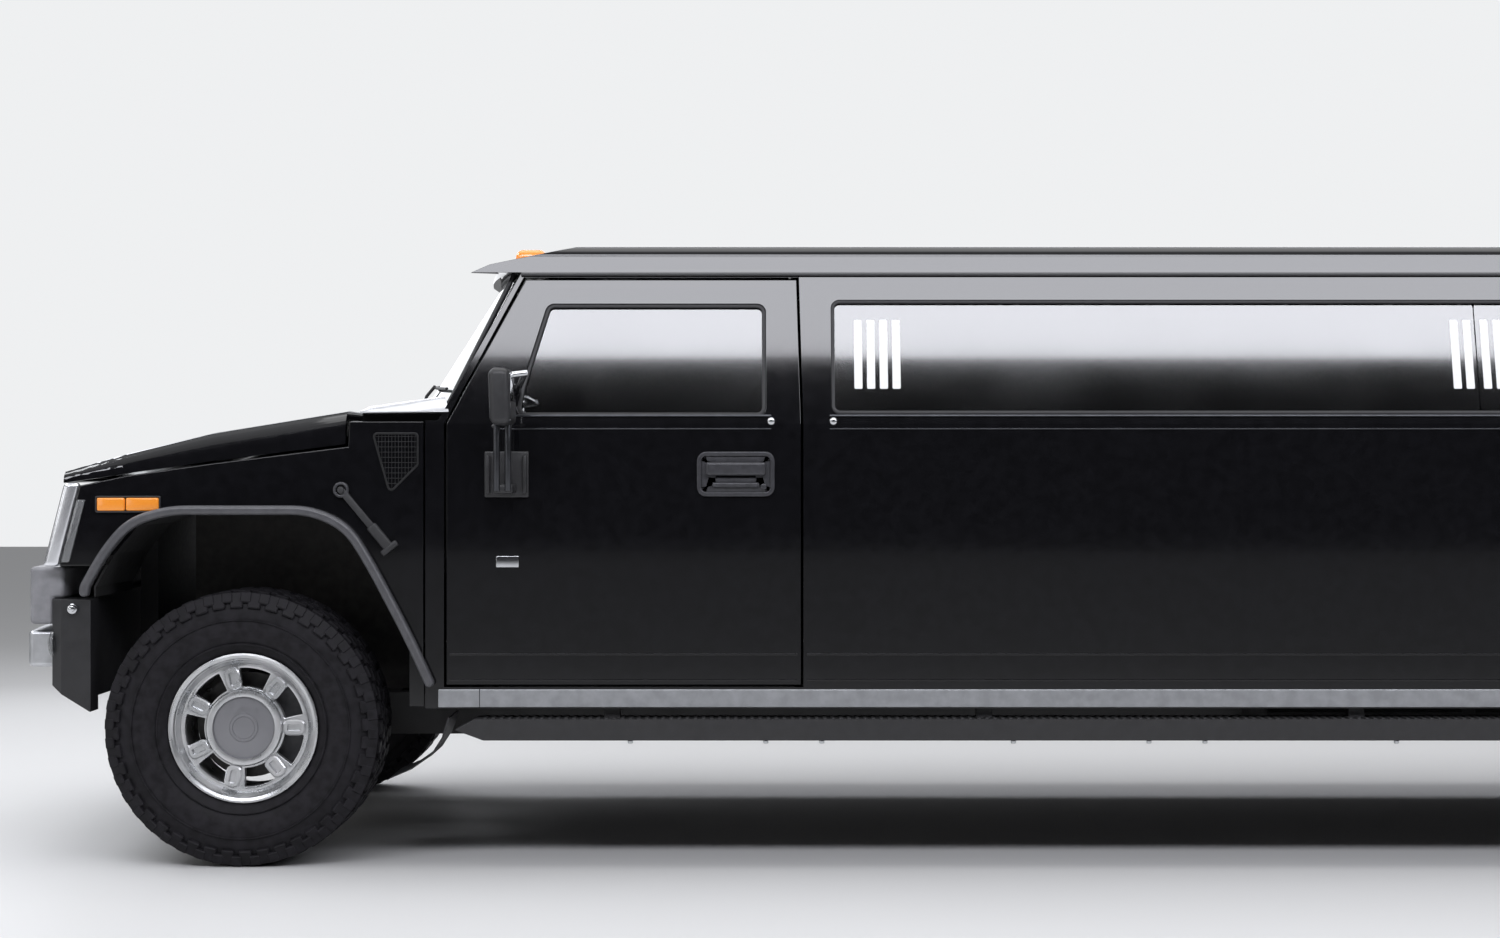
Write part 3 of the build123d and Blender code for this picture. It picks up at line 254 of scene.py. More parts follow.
def copied(piece, name, matrix):
    """A copy with its own mesh, moved in its mesh."""
    twin = piece.copy()
    twin.data = piece.data.copy()
    twin.name = name
    bpy.context.scene.collection.objects.link(twin)
    twin.data.transform(matrix)
    return twin


def smoothed(piece, degrees=35):
    """Smooth shading that keeps edges sharper than the angle."""
    picked(piece)
    bpy.ops.object.shade_smooth_by_angle(angle=math.radians(degrees))
    return piece


def finished(piece, *materials):
    """A piece with these materials in its slots."""
    piece.data.materials.clear()
    for material in materials:
        piece.data.materials.append(material)
    return piece


def dressed(piece, body, material=None, replaces=()):
    """Put a finished piece on its body, its material and the solids that it stands for."""
    if material is not None:
        finished(piece, material)
    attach(piece, body)
    if replaces:
        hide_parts(*replaces)
    return piece


def linked_noise(material, scale, detail=4.0, stretch=(1, 1, 1)):
    """A noise texture on object coordinates, and its tree."""
    tree = material.node_tree
    place = tree.nodes.new("ShaderNodeTexCoord")
    mapping = tree.nodes.new("ShaderNodeMapping")
    mapping.inputs["Scale"].default_value = stretch
    noise = tree.nodes.new("ShaderNodeTexNoise")
    noise.inputs["Scale"].default_value = scale
    noise.inputs["Detail"].default_value = detail
    tree.links.new(place.outputs["Object"], mapping.inputs["Vector"])
    tree.links.new(mapping.outputs["Vector"], noise.inputs["Vector"])
    return tree, noise


def vary(tree, source, target, low, high, from_low=0.3, from_high=0.7):
    """Feed a texture into a number socket between two values."""
    span = tree.nodes.new("ShaderNodeMapRange")
    span.inputs["From Min"].default_value = from_low
    span.inputs["From Max"].default_value = from_high
    span.inputs["To Min"].default_value = low
    span.inputs["To Max"].default_value = high
    tree.links.new(source, span.inputs["Value"])
    tree.links.new(span.outputs["Result"], target)
    return span


def blend_colours(tree, source, target, low, high, from_low=0.35, from_high=0.65):
    """Feed a texture into a colour socket between two colours."""
    ramp = tree.nodes.new("ShaderNodeValToRGB")
    ramp.color_ramp.elements[0].position = from_low
    ramp.color_ramp.elements[0].color = (*low, 1)
    ramp.color_ramp.elements[1].position = from_high
    ramp.color_ramp.elements[1].color = (*high, 1)
    tree.links.new(source, ramp.inputs["Fac"])
    tree.links.new(ramp.outputs["Color"], target)
    return ramp


def glossed(material, shader, scale, low, high, detail=4.0, stretch=(1, 1, 1)):
    """A roughness that varies over the piece between two values; gives the tree and the noise back."""
    tree, noise = linked_noise(material, scale, detail, stretch)
    vary(tree, noise.outputs["Fac"], shader.inputs["Roughness"], low, high)
    return tree, noise


def bumped(tree, source, shader, strength, distance):
    """Feed a height into the shader's normal."""
    bump = tree.nodes.new("ShaderNodeBump")
    bump.inputs["Strength"].default_value = strength
    bump.inputs["Distance"].default_value = distance
    tree.links.new(source, bump.inputs["Height"])
    tree.links.new(bump.outputs["Normal"], shader.inputs["Normal"])
    return bump


rubber, rubber_shader = new_material("tyre_rubber", (0.010, 0.0095, 0.011), 0.62,
                                     extras={"Specular IOR Level": 0.18})
rubber_tree, rubber_noise = glossed(rubber, rubber_shader, 38.0, 0.50, 0.72)
blend_colours(rubber_tree, rubber_noise.outputs["Fac"], rubber_shader.inputs["Base Color"],
              (0.007, 0.0065, 0.008), (0.016, 0.015, 0.018))
rubber_tree, rubber_grain = linked_noise(rubber, 900.0, 2.0)
bumped(rubber_tree, rubber_grain.outputs["Fac"], rubber_shader, 0.25, 0.0004)

carcass = spun_piece("carcass", carcass_section, 88)
blocks = []
# Columns: distance from the middle, width across, length round the tread, offset round in pitches, skew
tread_blocks = (
    (-0.090, 0.044, 0.040, 0.00, 0.10),
    (-0.042, 0.036, 0.046, 0.35, -0.35),
    (0.0, 0.034, 0.042, 0.0, 0.40),
    (0.042, 0.036, 0.046, 0.65, -0.35),
    (0.090, 0.044, 0.040, 0.50, 0.10),
)
for across, width, length, shift, skew in tread_blocks:
    block = box_piece("block", (length, width, tread_depth + 0.004), (0, 0, 0), 0.0025, 1)
    block.data.transform(Matrix.Rotation(skew, 4, "Z"))
    block.data.transform(Matrix.Translation((0, across, tyre_radius - tread_depth / 2 - 0.0025)))
    block.data.transform(Matrix.Rotation(shift * math.tau / tyre_pitches, 4, "Y"))
    blocks.append(block)
for hand in (-1, 1):
    for shift, reach, length in ((0.0, 0.052, 0.040), (0.5, 0.034, 0.034)):
        lug = box_piece("lug", (length, 0.030, reach), (0, 0, 0), 0.003, 1)
        lug.data.transform(Matrix.Rotation(hand * 0.42, 4, "X"))
        lug.data.transform(Matrix.Translation((0, hand * 0.1345, tyre_radius - 0.0075 - reach / 2)))
        lug.data.transform(Matrix.Rotation((shift + 0.25 * hand) * math.tau / tyre_pitches, 4, "Y"))
        blocks.append(lug)
pitch = joined("pitch", blocks)
ring = [copied(pitch, "pitch_copy", Matrix.Rotation(step * math.tau / tyre_pitches, 4, "Y"))
        for step in range(tyre_pitches)]
bpy.data.objects.remove(pitch)
# Raised rings on the sidewalls
for hand in (-1, 1):
    for radius, depth in ((0.268, 0.1425), (0.345, 0.1568)):
        clear_selection()
        bpy.ops.mesh.primitive_torus_add(
            major_radius=radius, minor_radius=0.0026, major_segments=88, minor_segments=6,
            location=(0, hand * depth, 0), rotation=(math.radians(90), 0, 0),
        )
        bpy.ops.object.transform_apply(location=True, rotation=True, scale=True)
        ring.append(bpy.context.object)
tyre = finished(smoothed(joined("tyre_model", [carcass, *ring])), rubber)

# Rims: cast alloy with a stepped lip, seven short spokes that each carry a raised, slotted pad, and a broad
# round cap pressed over the wheel nuts. The dark brake disc shows between the spokes.
rim_lip_radius = 0.237
rim_spokes = 7
rim_steps = 70
window_low_r, window_high_r = 0.129, 0.189
face_depth = -0.078
cap_radius = 0.122

alloy, alloy_shader = new_material("rim_alloy", (0.56, 0.57, 0.58), 0.30, 0.85)
alloy_tree, alloy_noise = glossed(alloy, alloy_shader, 14.0, 0.24, 0.36)
blend_colours(alloy_tree, alloy_noise.outputs["Fac"], alloy_shader.inputs["Base Color"],
              (0.50, 0.51, 0.52), (0.62, 0.62, 0.63))
# The cap metal also goes on the floors of the pads' slots, where its darker grey is painted shade.
cap_metal_and_slot_shade, cap_and_slot_shade_shader = new_material("rim_cap_and_slot_shade", (0.24, 0.24, 0.255), 0.40, 0.6)
glossed(cap_metal_and_slot_shade, cap_and_slot_shade_shader, 60.0, 0.32, 0.46)

# Columns: distance from the tyre's middle (outer face negative), radius
barrel_section = (
    (0.116, 0.198),
    (0.116, 0.236),
    (0.109, 0.236),
    (0.108, 0.2159),
    (-0.108, 0.2159),
    (-0.109, 0.228),
    (-0.112, rim_lip_radius),
    (-0.119, rim_lip_radius),
    (-0.121, 0.231),
    (-0.117, 0.222),
    (-0.100, 0.214),
    (-0.092, 0.204),
    (-0.080, 0.200),
    (-0.050, 0.198),
)
barrel = smoothed(spun_piece("barrel", barrel_section, rim_steps))
face_radii = (0.060, 0.116, window_low_r, window_high_r, 0.204)
face = spun_piece("face", [(face_depth, radius) for radius in face_radii], rim_steps, closed=False)
steps_per_pitch = rim_steps // rim_spokes
first_spoke_degrees = 103.0


def spoke_step(centre):
    """Which step of its pitch a point of the wheel's face lies in, counted from the pitch's spoke."""
    angle = math.degrees(math.atan2(centre.z, -centre.x)) - (180 - first_spoke_degrees)
    return (angle / (360 / rim_steps)) % steps_per_pitch


bpy.ops.object.mode_set(mode="EDIT")
edit = bmesh.from_edit_mesh(face.data)
open_faces = []
for part in edit.faces:
    centre = part.calc_center_median()
    radius = math.hypot(centre.x, centre.z)
    step = spoke_step(centre)
    if window_low_r < radius < window_high_r and 2 < step < steps_per_pitch - 2:
        open_faces.append(part)
bmesh.ops.delete(edit, geom=open_faces, context="FACES")
bmesh.update_edit_mesh(face.data)
bpy.ops.object.mode_set(mode="OBJECT")
apply_modifier(face, "SOLIDIFY", thickness=0.030, offset=0.0)
apply_modifier(face, "BEVEL", width=0.0035, segments=2, limit_method="ANGLE", angle_limit=math.radians(50))
smoothed(face, 40)

pads = []
pad = box_piece("pad", (0.050, 0.014, 0.072), (0, 0, 0))
bpy.ops.object.mode_set(mode="EDIT")
edit = bmesh.from_edit_mesh(pad.data)
bpy.ops.mesh.select_all(action="DESELECT")
for edge in edit.edges:
    direction = edge.verts[0].co - edge.verts[1].co
    edge.select_set(abs(direction.y) > 0.01)
bmesh.update_edit_mesh(pad.data)
bpy.ops.mesh.bevel(offset=0.020, segments=5, affect="EDGES")
bpy.ops.mesh.select_all(action="DESELECT")
edit = bmesh.from_edit_mesh(pad.data)
for part in edit.faces:
    part.select_set(part.normal.y < -0.9)
bmesh.update_edit_mesh(pad.data)
bpy.ops.mesh.inset(thickness=0.005, depth=0.004)
bpy.ops.mesh.inset(thickness=0.009, depth=0.0)
bpy.ops.mesh.inset(thickness=0.003, depth=-0.012)
bpy.ops.object.mode_set(mode="OBJECT")
# Painted shade: the floor faces of each pad's slot take the darker cap metal.
for part in pad.data.polygons:
    in_slot = abs(part.center.x) < 0.0115 and abs(part.center.z) < 0.0225
    part.material_index = int(in_slot and part.center.y > -0.0105)
smoothed(pad, 30)
pad.data.transform(Matrix.Translation((0, face_depth - 0.017, (window_low_r + window_high_r) / 2)))
for index in range(rim_spokes):
    turn = math.radians(90 - first_spoke_degrees + index * 360 / rim_spokes)
    pads.append(copied(pad, "pad_copy", Matrix.Rotation(turn, 4, "Y")))
bpy.data.objects.remove(pad)

# Columns: distance from the tyre's middle, radius
cap_section = (
    (-0.085, cap_radius),
    (-0.104, cap_radius),
    (-0.110, cap_radius - 0.004),
    (-0.112, cap_radius - 0.012),
    (-0.110, 0.099),
    (-0.102, 0.095),
    (-0.103, 0.070),
    (-0.106, 0.046),
    (-0.1085, 0.044),
    (-0.1085, 0.036),
    (-0.106, 0.034),
    (-0.107, 0.0002),
    (-0.080, 0.0002),
)
cap = smoothed(spun_piece("cap", cap_section, rim_steps))
hub_section = ((-0.060, 0.112), (-0.020, 0.100), (-0.020, 0.0305), (0.020, 0.0305), (0.020, 0.075),
               (-0.040, 0.112))
hub_back = smoothed(spun_piece("hub_back", hub_section, 42))

for piece in (barrel, face, *pads, hub_back, cap):
    finished(piece, alloy, cap_metal_and_slot_shade)
for part in cap.data.polygons:
    if math.hypot(part.center.x, part.center.z) < 0.0985:
        part.material_index = 1
rim = joined("rim_model", [barrel, face, *pads, hub_back, cap])

track_half = 0.865
front_axle_x, rear_axle_x = -4.170, 4.030
wheel_places = (
    ("front_left", front_axle_x, -1),
    ("front_right", front_axle_x, 1),
    ("rear_left", rear_axle_x, -1),
    ("rear_right", rear_axle_x, 1),
)
for place, axle_x, side in wheel_places:
    matrix = Matrix.Translation((axle_x, side * track_half, hub_height))
    if side > 0:
        matrix = matrix @ Matrix.Rotation(math.pi, 4, "Z")
    body = "wheel_" + place
    dressed(copied(tyre, "tyre_dressed_" + place, matrix), body, None, ["tyre_" + place])
    dressed(copied(rim, "rim_dressed_" + place, matrix), body, None, ["rim_" + place])
bpy.data.objects.remove(tyre)
bpy.data.objects.remove(rim)

# Painted body: pressed aluminium and steel panels with rolled edges, sprayed in deep gloss black and
# polished. The film has a faint ripple, and it is a little duller low down, where road dust settles.
paint_black = (0.0045, 0.0045, 0.0055)
dust_brown = (0.030, 0.027, 0.024)
panel_roll = 0.005
opening_roll = 0.003


def new_group(name, inputs, outputs):
    """An empty shader node group with number inputs and outputs."""
    group = bpy.data.node_groups.new(name, "ShaderNodeTree")
    for label, value in inputs:
        socket = group.interface.new_socket(label, in_out="INPUT", socket_type="NodeSocketFloat")
        socket.default_value = value
    for label in outputs:
        group.interface.new_socket(label, in_out="OUTPUT", socket_type="NodeSocketFloat")
    return group, group.nodes.new("NodeGroupInput"), group.nodes.new("NodeGroupOutput")


grain_group, grain_in, grain_out = new_group("fine_grain", (("Scale", 100.0), ("Detail", 3.0)), ("Height",))
grain_place = grain_group.nodes.new("ShaderNodeTexCoord")
grain_noise = grain_group.nodes.new("ShaderNodeTexNoise")
grain_group.links.new(grain_place.outputs["Object"], grain_noise.inputs["Vector"])
grain_group.links.new(grain_in.outputs["Scale"], grain_noise.inputs["Scale"])
grain_group.links.new(grain_in.outputs["Detail"], grain_noise.inputs["Detail"])
grain_group.links.new(grain_noise.outputs["Fac"], grain_out.inputs["Height"])

film_group, film_in, film_out = new_group("road_film", (("Low", 0.3), ("High", 1.0)), ("Mask",))
film_place = film_group.nodes.new("ShaderNodeTexCoord")
film_split = film_group.nodes.new("ShaderNodeSeparateXYZ")
film_fall = film_group.nodes.new("ShaderNodeMapRange")
film_fall.inputs["To Min"].default_value = 1.0
film_fall.inputs["To Max"].default_value = 0.0
film_noise = film_group.nodes.new("ShaderNodeTexNoise")
film_noise.inputs["Scale"].default_value = 9.0
film_noise.inputs["Detail"].default_value = 6.0
film_times = film_group.nodes.new("ShaderNodeMath")
film_times.operation = "MULTIPLY"
film_group.links.new(film_place.outputs["Object"], film_split.inputs["Vector"])
film_group.links.new(film_place.outputs["Object"], film_noise.inputs["Vector"])
film_group.links.new(film_split.outputs["Z"], film_fall.inputs["Value"])
film_group.links.new(film_in.outputs["Low"], film_fall.inputs["From Min"])
film_group.links.new(film_in.outputs["High"], film_fall.inputs["From Max"])
film_group.links.new(film_fall.outputs["Result"], film_times.inputs[0])
film_group.links.new(film_noise.outputs["Fac"], film_times.inputs[1])
film_group.links.new(film_times.outputs["Value"], film_out.inputs["Mask"])


def placed_group(tree, group, **values):
    """A node group placed in a material with its own values."""
    node = tree.nodes.new("ShaderNodeGroup")
    node.node_tree = group
    for label, value in values.items():
        node.inputs[label].default_value = value
    return node


def surface(name, colour, roughness, metallic=0.0, spread=0.25, scale=20.0, grain=0.0, grain_scale=600.0,
            film=0.0, film_high=1.0):
    """A finish whose colour and gloss vary a little, with a fine grain and road dust low down."""
    material, shader = new_material(name, colour, roughness, metallic)
    tree = material.node_tree
    tone = placed_group(tree, grain_group, Scale=scale, Detail=5.0)
    low = tuple(channel * (1 - spread) for channel in colour)
    high = tuple(channel * (1 + spread) for channel in colour)
    ramp = blend_colours(tree, tone.outputs["Height"], shader.inputs["Base Color"], low, high)
    gloss = vary(tree, tone.outputs["Height"], shader.inputs["Roughness"], roughness * (1 - spread / 2),
                 roughness * (1 + spread / 2))
    if film:
        dust = placed_group(tree, film_group, Low=0.3, High=film_high)
        amount = tree.nodes.new("ShaderNodeMath")
        amount.operation = "MULTIPLY"
        amount.inputs[1].default_value = film
        tree.links.new(dust.outputs["Mask"], amount.inputs[0])
        mix = tree.nodes.new("ShaderNodeMix")
        mix.data_type = "RGBA"
        mix.inputs["B"].default_value = (*dust_brown, 1)
        tree.links.new(amount.outputs["Value"], mix.inputs["Factor"])
        tree.links.new(ramp.outputs["Color"], mix.inputs["A"])
        tree.links.new(mix.outputs["Result"], shader.inputs["Base Color"])
        duller = tree.nodes.new("ShaderNodeMath")
        duller.operation = "ADD"
        tree.links.new(gloss.outputs["Result"], duller.inputs[0])
        tree.links.new(amount.outputs["Value"], duller.inputs[1])
        tree.links.new(duller.outputs["Value"], shader.inputs["Roughness"])
    if grain:
        fine = placed_group(tree, grain_group, Scale=grain_scale, Detail=2.0)
        bumped(tree, fine.outputs["Height"], shader, grain, 0.0005)
    return material


paint = surface("body_paint", paint_black, 0.06, spread=0.2, scale=30.0, grain=0.012, grain_scale=45.0,
                film=0.04, film_high=0.9)
paint_shader = paint.node_tree.nodes["Principled BSDF"]
paint_shader.inputs["Coat Weight"].default_value = 0.15
paint_shader.inputs["Coat Roughness"].default_value = 0.02


def dressed_node(node, body, material, roll, merge=0.00002):
    """A CAD node's own shape with rolled edges and its finish, in place of the node."""
    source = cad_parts[node]
    panel = source.copy()
    panel.data = source.data.copy()
    panel.name = node + "_dressed"
    for key in [key for key in panel.keys() if key.startswith("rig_")]:
        del panel[key]
    panel.parent = None
    panel.matrix_world = Matrix()
    bpy.context.scene.collection.objects.link(panel)
    panel.hide_render = False
    panel.hide_viewport = False
    picked(panel)
    bpy.ops.object.mode_set(mode="EDIT")
    bpy.ops.mesh.select_all(action="SELECT")
    bpy.ops.mesh.remove_doubles(threshold=merge)
    bpy.ops.mesh.dissolve_limited(angle_limit=math.radians(1.0))
    bpy.ops.object.mode_set(mode="OBJECT")
    if panel.data.has_custom_normals:
        bpy.ops.mesh.customdata_custom_splitnormals_clear()
    bpy.ops.object.shade_smooth()
    if roll:
        apply_modifier(panel, "BEVEL", width=roll, segments=3, limit_method="ANGLE",
                       angle_limit=math.radians(8), harden_normals=True)
    else:
        smoothed(panel, 8)
    return dressed(panel, body, material, [node])


for node in ("side_left", "side_right", "quarter_left", "quarter_right", "roof", "rear_frame", "bulkhead"):
    dressed_node(node, "body", paint, opening_roll)
for node in ("fender_left", "fender_right"):
    dressed_node(node, "body", paint, panel_roll)
for node in ("door_front_left", "door_front_right", "door_rear_left", "door_rear_right", "tailgate", "hood"):
    dressed_node(node, node, paint, panel_roll)

# Window glass: toughened panes with a deep grey tint, set in from the skin; the windshield is clearer.
# White film strips are stuck on the long panes, two on each side of a joint and four at each end.
toughened = {"Transmission Weight": 1.0, "IOR": 1.52, "Coat Weight": 1.0}
tint, tint_shader = new_material("side_glass_tint", (0.035, 0.038, 0.042), 0.06,
                                 extras={**toughened, "Coat Roughness": 0.04})
glossed(tint, tint_shader, 3.0, 0.06, 0.09)
clear_glass, clear_shader = new_material("windshield_glass", (0.55, 0.60, 0.58), 0.03, extras=toughened)
glossed(clear_glass, clear_shader, 3.0, 0.02, 0.05)


def finish_node(node, material):
    """Put a material in a CAD node's own slots."""
    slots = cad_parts[node].material_slots
    if not slots:
        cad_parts[node].data.materials.append(material)
    for holder in slots:
        holder.material = material


for node in ("side_glass", "glass_front_left", "glass_front_right", "glass_rear_left", "glass_rear_right",
             "tailgate_glass"):
    finish_node(node, tint)
finish_node("windshield", clear_glass)

body_half_width = 0.990
belt_z, gutter_z = 1.400, 1.888
gutter_set_in = 0.118
window_low_z, window_top_z = 1.430, 1.799
pane_inset = 0.014


def skin_y(z, depth=0.0):
    """Distance of the side's skin from the middle at a height, less a depth below it."""
    lean = max(0.0, min(z, gutter_z) - belt_z) / (gutter_z - belt_z)
    return body_half_width - gutter_set_in * lean - depth


def rounded_outline(corners, radius, steps=5):
    """The corners of a flat outline with an arc at each."""
    points = []
    count = len(corners)
    for index, (x, z) in enumerate(corners):
        here = Vector((x, z))
        back = (Vector(corners[index - 1]) - here).normalized()
        ahead = (Vector(corners[(index + 1) % count]) - here).normalized()
        half = back.angle(ahead) / 2
        reach = radius / math.tan(half)
        middle = here + (back + ahead).normalized() * (radius / math.sin(half))
        start = here + back * reach - middle
        sweep = start.angle_signed(here + ahead * reach - middle)
        for step in range(steps + 1):
            turned = start.copy()
            turned.rotate(Matrix.Rotation(-sweep * step / steps, 2))
            points.append(tuple(middle + turned))
    return points


def corners_about(x, z, width, height):
    """The corners of a rectangle about its middle."""
    return ((x - width / 2, z - height / 2), (x + width / 2, z - height / 2),
            (x + width / 2, z + height / 2), (x - width / 2, z + height / 2))


def outline_face(name, outline):
    """A flat face with an outline's points as its corners."""
    clear_selection()
    bpy.ops.mesh.primitive_circle_add(vertices=len(outline), radius=1, fill_type="NGON")
    flat = bpy.context.object
    flat.name = name
    for vertex, (x, z) in zip(flat.data.vertices, outline):
        vertex.co = (x, z, 0)
    return flat


def turned_out(piece):
    """A closed piece with all its faces pointing outwards."""
    picked(piece)
    bpy.ops.object.mode_set(mode="EDIT")
    bpy.ops.mesh.select_all(action="SELECT")
    bpy.ops.mesh.normals_make_consistent(inside=False)
    bpy.ops.object.mode_set(mode="OBJECT")
    return piece


def ring_piece(name, outline, band, rise, place, rounding=0.0):
    """A closed band inside an outline, raised by its thickness; place turns (x, z, depth) to a point."""
    ring = outline_face(name, outline)
    bpy.ops.object.mode_set(mode="EDIT")
    bpy.ops.mesh.select_all(action="SELECT")
    bpy.ops.mesh.inset(thickness=band, depth=0)
    bpy.ops.mesh.delete(type="ONLY_FACE")
    bpy.ops.mesh.select_all(action="SELECT")
    bpy.ops.mesh.extrude_region_move(TRANSFORM_OT_translate={"value": (0, 0, rise)})
    bpy.ops.mesh.select_all(action="SELECT")
    bpy.ops.mesh.normals_make_consistent(inside=False)
    bpy.ops.object.mode_set(mode="OBJECT")
    if rounding:
        apply_modifier(ring, "BEVEL", width=rounding, segments=2, limit_method="ANGLE",
                       angle_limit=math.radians(50))
    for vertex in ring.data.vertices:
        vertex.co = place(vertex.co.x, vertex.co.y, vertex.co.z)
    return smoothed(turned_out(ring), 45)


def on_side(side, depth):
    """Places (x, z, height over the pane) on the leaning wall."""
    def place(x, z, height):
        return (x, side * (skin_y(z) - depth + height), z)
    return place


seal_rubber = surface("window_seal", (0.012, 0.012, 0.014), 0.5, spread=0.2, scale=60.0, grain=0.1,
                      grain_scale=900.0)
seal_band = 0.012
seal_rise = 0.0115
window_corner = 0.028
door_window = (
    (front_axle_x + 0.862, window_low_z - 0.006),
    (front_axle_x + 1.655, window_low_z - 0.006),
    (front_axle_x + 1.655, window_top_z - 0.014),
    (front_axle_x + 0.958, window_top_z - 0.014),
    (front_axle_x + 0.880, window_low_z + 0.090),
)


def window_rectangle(front, rear):
    """The corners of an upright-ended window between two places."""
    return ((front, window_low_z), (rear, window_low_z), (rear, window_top_z), (front, window_top_z))


rear_door_front_x = rear_axle_x - 1.338
rear_door_rear_x = rear_axle_x - 0.390
rear_door_window = window_rectangle(rear_door_front_x + 0.078, rear_door_rear_x - 0.080)
long_band_front_x = front_axle_x + 1.863
long_band_rear_x = rear_door_front_x - 0.102
quarter_window = window_rectangle(rear_door_rear_x + 0.082, 4.840 - 0.190)
long_window = window_rectangle(long_band_front_x, long_band_rear_x)
car_sides = ((-1, "left"), (1, "right"))
for side, side_name in car_sides:
    place = on_side(side, pane_inset)
    for name, outline, body in (
        ("front_door_seal_", door_window, "door_front_" + side_name),
        ("rear_door_seal_", rear_door_window, "door_rear_" + side_name),
        ("long_window_seal_", long_window, "body"),
        ("quarter_window_seal_", quarter_window, "body"),
    ):
        curved = rounded_outline(outline, window_corner)
        seal = ring_piece(name + side_name, curved, seal_band, seal_rise, place, 0.002)
        dressed(seal, body, seal_rubber)

film_white = surface("film_strip_white", (0.80, 0.80, 0.80), 0.35, spread=0.04, scale=80.0)
strip_width = 0.026
strip_pitch = 0.0405
strip_low_z, strip_top_z = 1.512, 1.735
strip_proud = 0.0006
long_pane_length = 2.062
strip_set_in = 0.087
joint_offsets = (-0.0685, -0.0275, 0.0275, 0.0685)
strip_places = [long_band_front_x + strip_set_in + index * strip_pitch for index in range(4)]
strip_places += [long_band_rear_x - strip_set_in - index * strip_pitch for index in range(4)]
for joint in (1, 2):
    strip_places += [long_band_front_x + long_pane_length * joint + offset for offset in joint_offsets]
for side, side_name in car_sides:
    place = on_side(side, pane_inset)
    strips = []
    for x in strip_places:
        corners = corners_about(x, (strip_low_z + strip_top_z) / 2, strip_width, strip_top_z - strip_low_z)
        strip = outline_face("strip", rounded_outline(corners, 0.004, 3))
        for vertex in strip.data.vertices:
            vertex.co = place(vertex.co.x, vertex.co.y, strip_proud)
        strips.append(strip)
    strips = joined("film_strips_" + side_name, strips)
    apply_modifier(strips, "SOLIDIFY", thickness=strip_proud, offset=0.0)
    dressed(turned_out(strips), "body", film_white)

# Window surround: a black anodised sill bar under each window band, with a bright screw cap at each lower
# corner. A thin bead in the same finish closes its lower edge.
sill_bar_proud = 0.006
screw_cap_z = 1.408
bright_metal = surface("bright_metal", (0.62, 0.63, 0.65), 0.16, 1.0, spread=0.08, scale=25.0)
dark_anodised = surface("dark_anodised", (0.060, 0.062, 0.068), 0.30, 0.8, spread=0.12, scale=30.0)


def side_bar(name, side, front, rear, low, high, rise, sunk=0.0, bevel=0.0015):
    """A straight bar along the side's skin between two heights."""
    bar = box_piece(name, (rear - front, rise + sunk, high - low), ((front + rear) / 2, 0, (low + high) / 2),
                    bevel)
    for vertex in bar.data.vertices:
        outward = vertex.co.y + (rise + sunk) / 2 - sunk
        vertex.co.y = side * (skin_y(vertex.co.z) + outward)
    if side < 0:
        bar.data.flip_normals()
    return smoothed(bar)


# Columns: piece, front, rear, body, where the screw caps sit
sill_bars = (
    ("front_door_sill_bar_", front_axle_x + 0.815, front_axle_x + 1.672, "door_front_",
     (front_axle_x + 1.672,)),
    ("long_sill_bar_", long_band_front_x - 0.006, long_band_rear_x + 0.006, "body",
     (long_band_front_x + 0.006, long_band_rear_x - 0.006)),
    ("rear_door_sill_bar_", rear_door_front_x + 0.070, rear_door_rear_x - 0.072, "door_rear_",
     (rear_door_rear_x - 0.080,)),
    ("quarter_sill_bar_", quarter_window[0][0] - 0.006, quarter_window[1][0] + 0.006, "body",
     (quarter_window[1][0],)),
)
for side, side_name in ((-1, "left"), (1, "right")):
    for name, front, rear, body, cap_places in sill_bars:
        rides = body if body == "body" else body + side_name
        upper = side_bar("bar", side, front, rear, 1.4225, 1.4295, sill_bar_proud, 0.003)
        lower = side_bar("bar", side, front, rear, 1.3820, 1.3860, 0.003, 0.002, 0.001)
        dressed(joined(name + side_name, [upper, lower]), rides, dark_anodised)
        caps = []
        for x in cap_places:
            clear_selection()
            bpy.ops.mesh.primitive_uv_sphere_add(segments=20, ring_count=12, radius=0.0125)
            cap = bpy.context.object
            cap.data.transform(Matrix.Diagonal((1, 0.55, 1, 1)))
            cap.data.transform(Matrix.Translation((x, side * (skin_y(screw_cap_z) + 0.001), screw_cap_z)))
            caps.append(smoothed(cap, 60))
        dressed(joined(name.replace("_bar_", "_cap_") + side_name, caps), rides, bright_metal)

# Door mirrors: a black moulded head on a bent bright arm and two steel struts, on a plate bolted to the
# door. The glass faces the rear.
mirror_x = front_axle_x + 0.836
moulded = surface("moulded_plastic", (0.020, 0.020, 0.022), 0.45, spread=0.15, scale=40.0, grain=0.18,
                  grain_scale=1400.0, film=0.10)
silvered, silvered_shader = new_material("mirror_glass", (0.82, 0.84, 0.85), 0.02, 1.0)
glossed(silvered, silvered_shader, 30.0, 0.01, 0.04)
mirror_head_y, mirror_head_z = 1.155, 1.480
mirror_head_height = 0.176
mirror_post_y = 1.130
base_z = 1.240


def rod(name, start, end, radius, vertices=14):
    """A closed round bar between two points, with rounded ends."""
    start, end = Vector(start), Vector(end)
    clear_selection()
    bpy.ops.mesh.primitive_cylinder_add(vertices=vertices, radius=radius, depth=(end - start).length)
    bar = bpy.context.object
    bar.name = name
    apply_modifier(bar, "BEVEL", width=radius * 0.3, segments=2, limit_method="ANGLE",
                   angle_limit=math.radians(50))
    turn = Vector((0, 0, 1)).rotation_difference(end - start).to_matrix().to_4x4()
    bar.data.transform(Matrix.Translation((start + end) / 2) @ turn)
    return smoothed(bar, 40)


